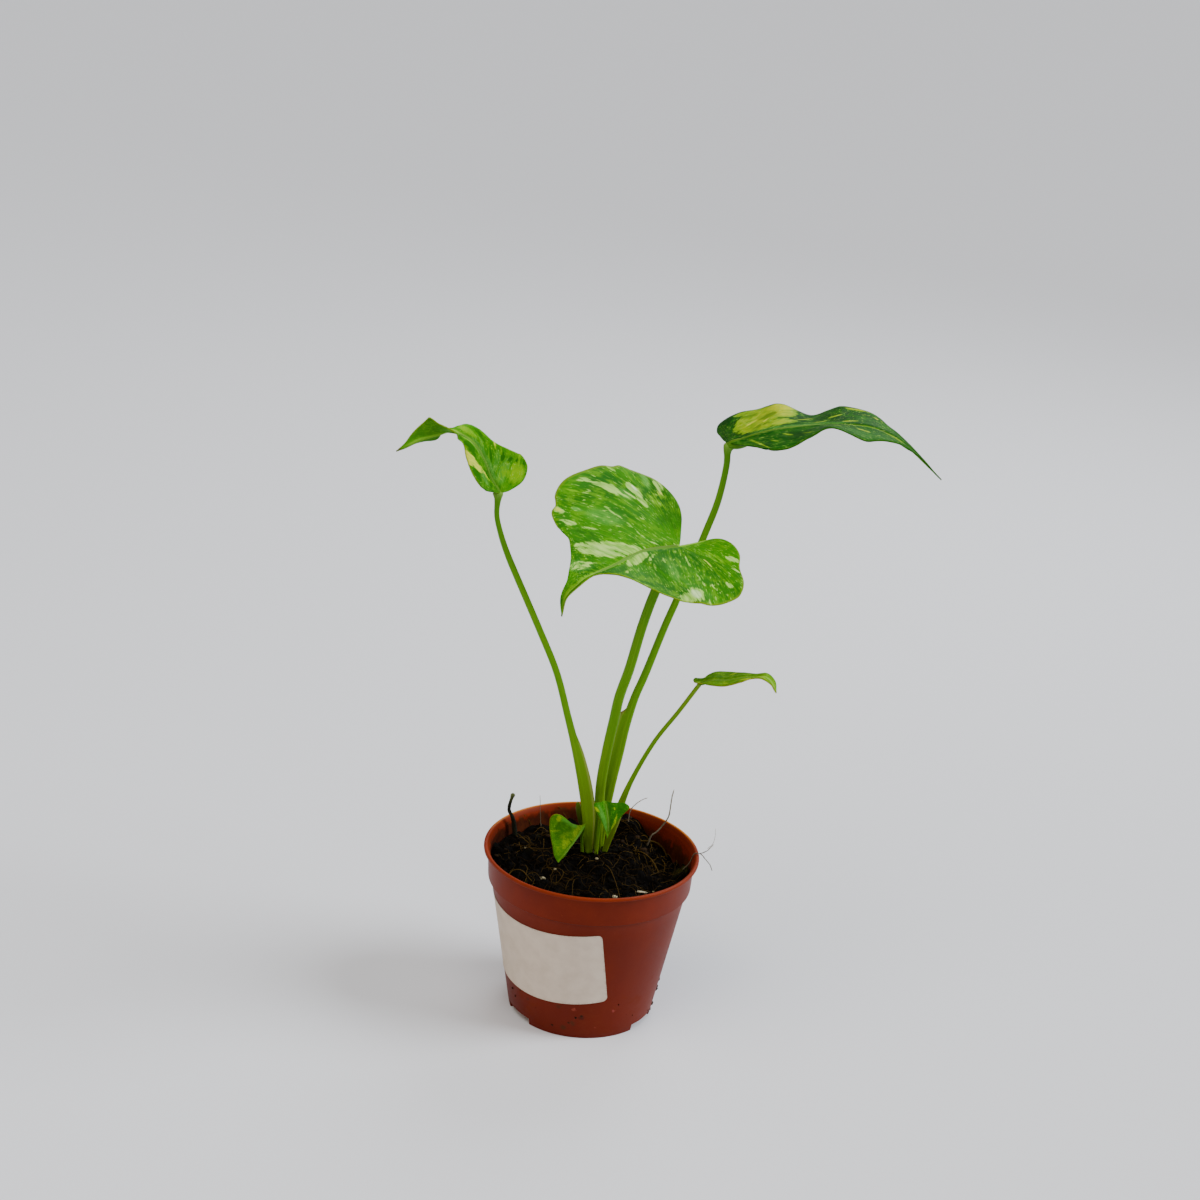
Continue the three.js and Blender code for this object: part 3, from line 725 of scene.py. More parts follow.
def mixSoil():
    look = Finish("darkPottingMix")
    place = look.objectPlace()
    grain = look.noise(place, 620, 5, 0.7)
    clods = look.noise(place, 190, 3, 0.6)
    darkening = look.noise(place, 60, 2, 0.5)
    look.colour = look.mix(clods.eased(0.35, 0.7), (3, 2, 1), (9, 5, 3))
    look.paint(grain.eased(0.55, 0.75) * 0.7, (19, 12, 6))
    look.paint(grain.eased(0.68, 0.8) * 0.6, (46, 34, 14))
    look.paint(look.noise(place, 110, 3).eased(0.6, 0.7) * 0.4, (30, 30, 8))
    # damp patches are darker and less rough
    look.paint(darkening.eased(0.4, 0.7) * 0.5, (4, 2, 1))
    x, y, _ = look.axes(place)
    mossy = 1 - ((x - 0.041) ** 2 + (y - 0.003) ** 2).eased(0.000012, 0.00005)
    look.paint(mossy * clods.eased(0.4, 0.6) * 0.8, (58, 58, 12))
    # painted darker towards the front
    look.darkerTowardFront(0.75)
    height = grain + clods * 0.6
    return look.done(0.98 - darkening * 0.15, height, 0.0006, 0.9, Specular_IOR_Level=0.06)


def tintedBits(name, dark, light, rough, darkening=0.0):
    look = Finish(name)
    tint = look.attribute("tint")
    place = look.objectPlace()
    grain = look.noise(place, 1500, 3, 0.6)
    look.colour = look.mix(tint, dark, light)
    look.paint(grain.eased(0.4, 0.8) * 0.45, dark)
    # painted darker towards the front
    if darkening:
        look.darkerTowardFront(darkening)
    gloss = {"Specular_IOR_Level": 0.08, "Specular_Tint": (1, 0.8, 0.6, 1)}
    return look.done(rough, grain, 0.0002, 0.7, **gloss)


chance = random.Random(mix["seed"])
# vector noise is seeded from the clock unless it is told otherwise
noise.seed_set(mix["seed"])


def spotOnMix(reach=1.0):
    while True:
        x, y = chance.uniform(-42, 42), chance.uniform(-42, 42)
        if math.hypot(x, y) > (innerRadius(mixLevel(x, y)) - 1.2) * reach:
            continue
        if math.hypot(x - crown["x"], y - crown["y"]) > 5:
            return x, y


def tintedMesh():
    bm = bmesh.new()
    return bm, bm.verts.layers.float.new("tint")


def addBall(bm, tint, matrix, radius, shade, roughness, cuts=3):
    # a small ball pushed out of shape: roughness is a noise scale and an amount
    made = bmesh.ops.create_icosphere(bm, subdivisions=cuts, radius=radius, matrix=matrix)["verts"]
    for v in made:
        v[tint] = shade
        v.co += noise.noise_vector(v.co * roughness[0]) * roughness[1]


def scatterBits(count, sizes, flatness, tints):
    bm, tint = tintedMesh()
    for _ in range(count):
        x, y = spotOnMix()
        half = chance.uniform(*sizes) * chance.uniform(0.6, 1)
        turn = Matrix.Rotation(chance.uniform(0, 6.28), 4, "Z")
        turn = turn @ Matrix.Rotation(chance.gauss(0, 0.5), 4, "X")
        sides = chance.uniform(0.9, 1.6), chance.uniform(0.6, 1), chance.uniform(*flatness)
        place = Matrix.Translation((x, y, mixHeight(x, y) + half * 0.25)) @ turn
        shade = tints[0] + (tints[1] - tints[0]) * chance.random() ** 2
        addBall(bm, tint, place @ Matrix.Diagonal((*sides, 1)), half, shade, (1.1, half * 0.35), 1)
    return bm


def fibreMesh():
    bm, tint = tintedMesh()
    for _ in range(mix["fibres"]):
        x, y = spotOnMix(0.97)
        heading = chance.uniform(0, 2 * math.pi)
        bend = chance.gauss(0, 0.5)
        steps = chance.randint(4, 8)
        stride = chance.uniform(1.0, 2.6)
        rise = chance.uniform(0.2, 1.6)
        points = []
        for k in range(steps):
            if math.hypot(x, y) > innerRadius(66) - 1.2:
                break
            arch = math.sin(math.pi * k / (steps - 1))
            points.append((x, y, mixHeight(x, y) + 0.15 + rise * arch))
            x += stride * math.cos(heading)
            y += stride * math.sin(heading)
            heading += bend * 0.4 + chance.gauss(0, 0.25)
        if len(points) < 3:
            continue
        thick = chance.uniform(0.05, 0.12)
        shade = chance.random() ** 2.6 * 0.8

        def ring(turn, share):
            return roundRing(turn, thick * taper(share))

        for v in wrapTube(bm, Route(points, 5), 5, len(points) * 3, ring):
            v[tint] = shade
    closeUp(bm)
    return bm


def taper(share, blunt=0.06):
    # 1 along the middle, and 0 at the two ends
    return math.sqrt(clamp(min(share, 1 - share) / blunt))


def roundRing(turn, radius):
    return radius * math.cos(turn), radius * math.sin(turn)


# roots and long fibres seen in the photograph: radius, tint, and points as x, y and height over
# the mix
roots = {
    "besideInnerWall": (0.42, 0.3, [
        (20, 25, -1), (23.4, 25, 1.8), (27, 25.6, 2.6), (30.4, 24.6, 2.2), (33, 22, -0.5),
    ]),
    "wallLeft": (0.16, 0.45, [(-40.2, 14.4, 6.2), (-39.4, 16.6, 3.4), (-37.8, 18.6, 0)]),
    "wallBackLeft": (0.14, 0.45, [(-30.2, 30.4, 6), (-28.6, 31.6, 3), (-26.6, 32.2, -0.4)]),
    "wallBack": (0.15, 0.5, [
        (-16, 39.6, 6.4), (-14.8, 40.2, 4.6), (-12.8, 40.4, 2.2), (-11, 40, -0.5),
    ]),
    "leftArc": (0.24, 0.6, [
        (-34, -17, -1), (-32.6, -13.6, 1.4), (-29, -14.5, 2), (-24.5, -20, 1.4), (-20.5, -25, -1),
    ]),
    "frontArc": (0.17, 0.55, [(6, -2, -1), (8.4, -9, 1.3), (11.6, -20, 1.5), (13.4, -28, -1)]),
    "rightArc": (0.22, 0.5, [(16.7, 19, -1), (22, 15, 1.6), (27, 7.6, 1.8), (30.6, -4, -1)]),
    "towardFront": (0.17, 0.4, [
        (-5.4, -11, -1), (-6.6, -19, 1.2), (-6.6, -27, 1.4), (-6.2, -34, -1),
    ]),
    "backLeftWisp": (0.15, 0.8, [
        (-22.4, 31, -1), (-22.9, 31.8, 3), (-23.4, 32.5, 8), (-24, 33, 14.5),
    ]),
    "backRightWisp": (0.4, 0.85, [
        (23.6, 24, -1), (25.4, 25, 6.2), (27.1, 26, 7.2), (29.7, 28, 10.5), (31.9, 29, 13.9),
        (32.5, 30, 17.6), (32.6, 30.5, 20.6), (33.3, 31, 25.9),
    ]),
    "backWisp": (0.26, 0.85, [
        (15, 33, -1), (15.2, 35, 3.3), (16.1, 36, 5.4), (19.3, 38, 9.9), (22.7, 39, 13.7),
    ]),
    "rightWisp": (0.26, 0.85, [
        (38.5, 3, -1), (41.5, 2.5, 2.8), (43.4, 2.2, 7.8), (46, 2, 8.4), (48.4, 2, 9.8),
        (51, 2, 13.2),
    ]),
    "rightDroop": (0.22, 0.9, [
        (43.6, 2.2, 7.9), (45.6, 2, 8.2), (48, 2, 5.8), (50.2, 2, 3.3), (51.4, 2, 0.4),
    ]),
    "rightUpright": (0.11, 0.9, [(48.4, 2, 10.6), (50.6, 2, 13.4), (51.2, 2, 17), (51, 2, 20.6)]),
}


def rootMesh(names):
    bm, tint = tintedMesh()
    for thick, shade, points in (roots[name] for name in names):
        route = Route([(x, y, mixLevel(min(x, 40), y) + over) for x, y, over in points], 10)

        def ring(turn, share):
            return roundRing(turn, thick * taper(share) * (1 - 0.35 * share))

        for v in wrapTube(bm, route, 8, 48, ring):
            # what hangs free of the pot has dried pale
            v[tint] = shade * (0.35 + 0.65 * ease(v.co.z, 73.5, 79)) if shade > 0.65 else shade
            v.co += noise.noise_vector(v.co * 0.9) * 0.12
    closeUp(bm)
    return bm


# crumbs of mix stuck to the outside wall near the foot: azimuth in degrees, height and half size
stuckCrumbs = [
    (-3.5, 3.2, 0.7), (-8, 1.6, 0.5), (-2, 10.2, 0.9), (-3, 11.6, 0.6), (-1.5, 14.6, 0.6),
    (-5, 16.4, 0.4), (-12, 5.6, 0.5), (-16, 9.4, 0.3), (-20, 4.4, 0.4), (-88, 11.8, 0.5),
    (-92, 10.8, 0.4), (-97, 7.6, 0.4), (-150, 13.2, 0.5), (-147, 10.4, 0.4), (-139, 15.6, 0.3),
    (-61, 16.8, 0.3), (-45, 8.4, 0.3), (-110, 4.8, 0.4), (60, 5.4, 0.5), (130, 9.6, 0.4),
    (168, 4.2, 0.5),
]


def stuckMesh():
    bm, tint = tintedMesh()
    for i, (azimuth, z, half) in enumerate(stuckCrumbs):
        reach = pot["footRadius"] + wallSlope * z
        turn = Matrix.Rotation(math.radians(azimuth), 4, "Z")
        place = turn @ Matrix.Translation((reach + half * 0.12, 0, z)) @ Matrix.Rotation(i, 4, "X")
        shade = 0.5 + 0.4 * math.sin(i * 2.4)
        addBall(bm, tint, place @ Matrix.Diagonal((0.5, 1, 1.3, 1)), half, shade, (1.6, half * 0.7))
    return bm


# a tone's dark and light tints, roughness, and how much it is painted darker towards the front
mixTones = {
    "driedMix": ((16, 8, 5), (66, 42, 28), 0.95),
    "mixCrumb": ((2, 1, 1), (30, 20, 10), 0.95, 0.75),
    "barkChip": ((5, 3, 2), (56, 40, 24), 0.9, 0.65),
    "perliteGrain": ((92, 80, 46), (178, 168, 140), 0.85),
    "coirFibre": ((10, 6, 2), (122, 94, 40), 0.85, 0.45),
    "drySliver": ((52, 36, 18), (150, 142, 122), 0.85),
}
mixLooks = {name: tintedBits(name, *tones) for name, tones in mixTones.items()}


def addBits(name, bm, lookName):
    addPiece(name, bm, None, [mixLooks[lookName]])


addBits("stuckCrumbs", stuckMesh(), "driedMix")
addPiece("pottingMix", mixMesh(), "soil", [mixSoil()])
addBits("mixCrumbs", scatterBits(mix["crumbs"], (0.35, 1.0), (0.5, 0.9), (0, 0.55)), "mixCrumb")
addBits("barkChips", scatterBits(mix["chips"], (0.9, 2.0), (0.25, 0.5), (0.1, 0.9)), "barkChip")
addBits("coirFibres", fibreMesh(), "coirFibre")
wisps = [name for name in roots if name.endswith(("Wisp", "Droop", "Upright"))]
thickRoots = [name for name in roots if name not in wisps]
addBits("thickRoots", rootMesh(thickRoots), "coirFibre")
addBits("paleWisps", rootMesh(wisps), "drySliver")

# pale grains and one splinter where the photograph shows them: x, y, half length, half width,
# tint and turn
grains = [
    (-19.5, -14, 1.4, 0.8, 0.55, 10), (2.4, 0.8, 0.7, 0.55, 0.4, 0),
    (10.9, -27, 1.2, 0.8, 0.85, -15), (21.2, -20.8, 3.3, 0.55, 0.95, -4),
    (-14.6, -8.6, 0.8, 0.55, 0.2, 40), (-28, 8, 0.6, 0.4, 0.4, 60), (27, -14, 0.6, 0.4, 0.3, 20),
    (-24, -24, 0.6, 0.4, 0.5, -30),
]


def grainMesh():
    bm, tint = tintedMesh()
    for x, y, halfLong, halfWide, shade, turnDeg in grains:
        place = Matrix.Translation((x, y, mixHeight(x, y) + 0.5 + halfWide * 0.4))
        turn = Matrix.Rotation(math.radians(turnDeg), 4, "Z") @ Matrix.Rotation(0.3, 4, "X")
        shape = Matrix.Diagonal((halfLong, halfWide, halfWide * 0.6, 1))
        addBall(bm, tint, place @ turn @ shape, 1, shade, (1.2, halfWide * 0.35))
    return bm


addBits("paleGrains", grainMesh(), "perliteGrain")
print("potting mix")


# Stalks

# a route from the crown to the blade, then half width, half depth (where it isn't the same) and
# wing at shares of the length
stalks = {
    "petiole_left": {
        "route": [
            (-1.2, 6.4, 67.5), (-2.9, 5.9, 82), (-4.5, 5.5, 93), (-9.4, 5, 114), (-14.4, 5, 131),
            (-20.3, 6, 149.6), (-28.4, 7, 167), (-34.6, 8, 179.5), (-44, 10, 198.4),
            (-47.2, 10.5, 206.6), (-49.2, 11, 214), (-49.2, 11, 222.3), (-49.4, 10.9, 224.2),
        ],
        "width": [
            (0, 1.5), (0.15, 2.0), (0.28, 1.8), (0.4, 1.5), (0.8, 1.35), (0.95, 1.1), (0.98, 1.5),
            (1, 2.5),
        ],
        "depth": [
            (0, 1.2), (0.15, 1.5), (0.28, 1.4), (0.4, 1.35), (0.8, 1.25), (0.95, 1.05), (1, 1.3),
        ],
        "wing": [(0, 0.4), (0.1, 1.8), (0.2, 2.0), (0.28, 1.3), (0.32, 0.5), (0.34, 0), (1, 0)],
    },
    "petiole_centre": {
        "route": [
            (2.4, 9.6, 67.5), (2.0, 9.4, 84), (1.6, 9, 98), (3.0, 7, 115.6), (4.9, 5, 131.3),
            (6.2, 3, 142), (9.3, 0, 156), (13, -4, 177), (16.8, -7, 193), (24, -11.8, 214.6),
        ],
        "width": [(0, 1.7), (0.15, 2.1), (0.5, 2.1), (0.85, 2.0), (1, 2.1)],
        "depth": [(0, 1.5), (0.15, 1.7), (0.5, 1.8), (0.85, 1.8), (1, 1.7)],
    },
    "petiole_right": {
        "route": [
            (3.4, 13.4, 67.5), (4.7, 13.3, 86), (6.2, 13.2, 99.6), (8.1, 13.6, 112),
            (10, 14.2, 125), (12.8, 15, 137.4), (16, 16, 147), (22.6, 18, 169), (26.3, 19, 180),
            (35.9, 22, 210), (39.8, 23, 223.7), (41.9, 24, 239), (41.8, 24, 245.6),
            (42.6, 23.9, 247.8),
        ],
        "width": [
            (0, 1.5), (0.15, 2.0), (0.3, 2.0), (0.4, 1.75), (0.85, 1.45), (0.97, 1.35),
            (0.985, 1.8), (1, 2.7),
        ],
        "depth": [
            (0, 1.3), (0.15, 1.5), (0.3, 1.4), (0.4, 1.4), (0.85, 1.35), (0.97, 1.3), (1, 1.8),
        ],
        "wing": [
            (0, 0.8), (0.08, 1.9), (0.2, 2.5), (0.31, 2.5), (0.332, 2.2), (0.342, 1.3), (0.348, 0),
            (1, 0),
        ],
        "wingSide": -1,
    },
    "petiole_small_right": {
        "route": [
            (5.3, 8.6, 67.5), (7.2, 7, 77), (11, 5, 94.5), (15.8, 3, 109), (22.7, 0, 125.6),
            (30.7, -3, 140), (38, -5.9, 153.9), (38.6, -6, 154.8),
        ],
        "width": [(0, 1.2), (0.2, 1.45), (0.34, 1.12), (0.5, 0.98), (1, 0.9)],
        "depth": [(0, 1), (0.2, 1.1), (0.34, 0.95), (0.5, 0.9), (1, 0.82)],
        "wing": [(0, 0), (0.2, 0.7), (0.34, 0.25), (0.42, 0), (1, 0)],
    },
    "petiole_low_left": {
        "route": [(-3.7, 5.9, 67.5), (-4.4, 4.4, 74), (-4.4, 2.6, 79), (-3.8, 0.6, 83.2)],
        "width": [(0, 0.7), (1, 0.6)],
    },
    "petiole_low_right": {
        "route": [(2.0, 5.6, 67.5), (2.2, 3.8, 80), (3, 1.2, 90), (4, -1.8, 95.6)],
        "width": [(0, 0.8), (1, 0.65)],
    },
}


def stalkMesh(stalk):
    bm = bmesh.new()
    layer = bm.loops.layers.uv.new("length")
    sheath = bm.verts.layers.float.new("sheath")
    route = Route(stalk["route"])
    wings, wingSide = stalk.get("wing", [(0, 0), (1, 0)]), stalk.get("wingSide", 1)
    depths = stalk.get("depth", stalk["width"])
    known = {}

    def ring(turn, share):
        capped = taper(share, 0.006)
        width, depth = smoothValue(stalk["width"], share), smoothValue(depths, share)
        wing = smoothValue(wings, share)
        side = math.cos(turn)
        flange = ease(side * wingSide, 0.35, 1.0)
        aside = side * width + wingSide * wing * flange
        thin = 1 - 0.72 * flange * clamp(wing / 0.8)
        groove = 0.16 * math.exp(-(((turn - 1.35) / 0.35) ** 2)) * depth
        ahead = (math.sin(turn) * depth - groove) * thin + 0.5 * wing * flange
        known[round(turn, 4), round(share, 4)] = flange * clamp(wing / 0.6)
        return aside * capped, ahead * capped

    steps = max(24, int(route.length / 0.8))
    made = wrapTube(bm, route, 32, steps, ring, layer)
    for v in made:
        v[sheath] = 0.0
    for face in bm.faces:
        for loop in face.loops:
            turn, share = loop[layer].uv
            key = round(turn * 2 * math.pi, 4), round(share, 4)
            loop.vert[sheath] = max(loop.vert[sheath], known.get(key, 0.0))
    closeUp(bm)
    return bm


def stalkSkin(name, low, middle, high, edge, shade=(86, 84, 10)):
    look = Finish(name)
    around, share, _ = look.axes(look.uv("length"))
    place = look.objectPlace()
    lines = look.noise(look.joined(around * 34, share * 5, 0), 1, 3, 0.55)
    blotch = look.noise(place, 120, 3, 0.6)
    look.colour = look.mix(share.eased(0.05, 0.45), low, middle)
    look.paint(share.eased(0.6, 1.0), high)
    look.paint(share.eased(0.972, 1.0) * 0.65, (112, 152, 64))
    look.paint(lines.eased(0.45, 0.75) * 0.35, edge)
    look.paint(blotch.eased(0.5, 0.8) * 0.25, low)
    # the sheath's thin edge is paler
    thinEdge = look.attribute("sheath").eased(0.45, 0.95)
    sheathTone = look.mix(lines.eased(0.4, 0.7), (140, 160, 60), (176, 182, 110))
    look.paint(thinEdge * 0.7, sheathTone)
    look.paint(thinEdge * share.eased(0.322, 0.342) * 0.7, (104, 68, 30))
    sides = (around * 4 * math.pi).sine()
    olive = ((around * 2 * math.pi + math.pi / 2).sine().absolute()).eased(0.72, 1.0)
    look.paint(olive * 0.34, shade)
    gloss = {"Specular_IOR_Level": 0.14, "Specular_Tint": (0.8, 1, 0.4, 1)}
    return look.done(0.45 + blotch * 0.18, lines + sides * 0.05, 0.00012, 0.5, **gloss)


greenTones = (102, 140, 4), (84, 138, 8), (66, 120, 14), (124, 158, 30)
thinTones = (106, 136, 6), (90, 138, 8), (104, 142, 18), (134, 158, 44), (104, 82, 12)
greenSkin = stalkSkin("greenStalk", *greenTones)
thinSkin = stalkSkin("thinStalk", *thinTones)
for stalkName, stalk in stalks.items():
    stalkLook = thinSkin if "small" in stalkName else greenSkin
    addPiece(stalkName + "_skin", stalkMesh(stalk), stalkName, [stalkLook])
print("stalks")


# Crown, shoot and twig

def crownMesh():
    bm = bmesh.new()
    made = bmesh.ops.create_icosphere(bm, subdivisions=5, radius=1)["verts"]
    for v in made:
        n = v.co.normalized()
        swell = 1 + 0.12 * noise.fractal(n * 2.4, 1.0, 2.0, 4)
        ridges = 0.05 * math.sin(n.z * 22)
        reach = crown["radius"] * (swell + ridges)
        narrowed = 1 + crown["narrowing"] * min(n.z, 0)
        v.co.x = crown["x"] + n.x * reach * narrowed
        v.co.y = crown["y"] + n.y * reach * 0.9 * narrowed
        v.co.z = crown["shoulder"] + n.z * (crown["root"] if n.z < 0 else crown["rise"])
    return bm


def crownSkin():
    look = Finish("fibrousStemBase")
    place = look.objectPlace()
    strands = look.noise(look.scaled(place, 1, 1, 0.25), 700, 4, 0.65)
    patch = look.noise(place, 240, 3, 0.6)
    look.colour = look.mix(patch.eased(0.35, 0.65), (20, 12, 6), (56, 56, 18))
    look.paint(strands.eased(0.5, 0.75) * 0.6, (86, 64, 32))
    return look.done(0.85, strands, 0.0004, 0.8)


addPiece("stemBase", crownMesh(), "crown", [crownSkin()])

sprout = {
    "route": [(-2.2, 12.6, 67.5), (-4.2, 13.6, 76), (-5.9, 14.3, 81), (-7.6, 15, 87.5)],
    "width": [(0, 1.2), (0.5, 1.4), (0.85, 1.3), (1, 0.7)],
    "depth": [(0, 1.2), (0.5, 1.3), (0.85, 1.2), (1, 0.6)],
}
sproutSkin = stalkSkin("dullGreenShoot", (34, 30, 8), (44, 58, 10), (74, 96, 20), (92, 98, 34))
addPiece("shootTip", stalkMesh(sprout), "shoot", [sproutSkin])

twig = {
    "route": [
        (-32.6, 20.7, 60), (-33.6, 21, 69.3), (-34.7, 21, 74.5), (-36.5, 21, 78.2),
        (-35.7, 21, 83.6), (-35, 21, 86.1),
    ],
    "radius": [(0, 1.1), (0.5, 0.95), (0.62, 0.75), (0.9, 0.75), (0.97, 0.95), (1, 0.6)],
}


def twigMesh():
    bm = bmesh.new()
    layer = bm.loops.layers.uv.new("length")

    def ring(turn, share):
        radius = smoothValue(twig["radius"], share) * taper(share, 0.012)
        radius *= 1 + 0.12 * math.exp(-(((share - 0.66) / 0.03) ** 2))
        return roundRing(turn, radius)

    wrapTube(bm, Route(twig["route"]), 16, 90, ring, layer)
    closeUp(bm)
    for v in bm.verts:
        v.co += noise.noise_vector(v.co * 0.8) * 0.12
    return bm


def twigBark():
    look = Finish("dryTwigBark")
    around, share, _ = look.axes(look.uv("length"))
    strands = look.noise(look.joined(around * 20, share * 16, 0), 1, 4, 0.6)
    look.colour = look.mix(strands.eased(0.4, 0.7), (12, 14, 8), (36, 40, 22))
    look.paint(share.eased(0.78, 1.0) * 0.8, (90, 98, 54))
    return look.done(0.8, strands, 0.00025, 0.8, Specular_IOR_Level=0.15)


addPiece("twigBark", twigMesh(), "twig", [twigBark()])
print("crown, shoot and twig")


# Leaves

leafThickness = 0.5
midribSteps = 160
sideVeins = 11
# heights of the blade's relief, and how far its parts lie from the midrib and spread
bladeRelief = {
    "groove": 0.42,
    "grooveSpread": 0.9,
    "crest": 0.16,
    "crestOut": 2.2,
    "crestSpread": 1.2,
    "rib": 0.15,
    "pucker": 0.4,
    "droop": 0.35,
}
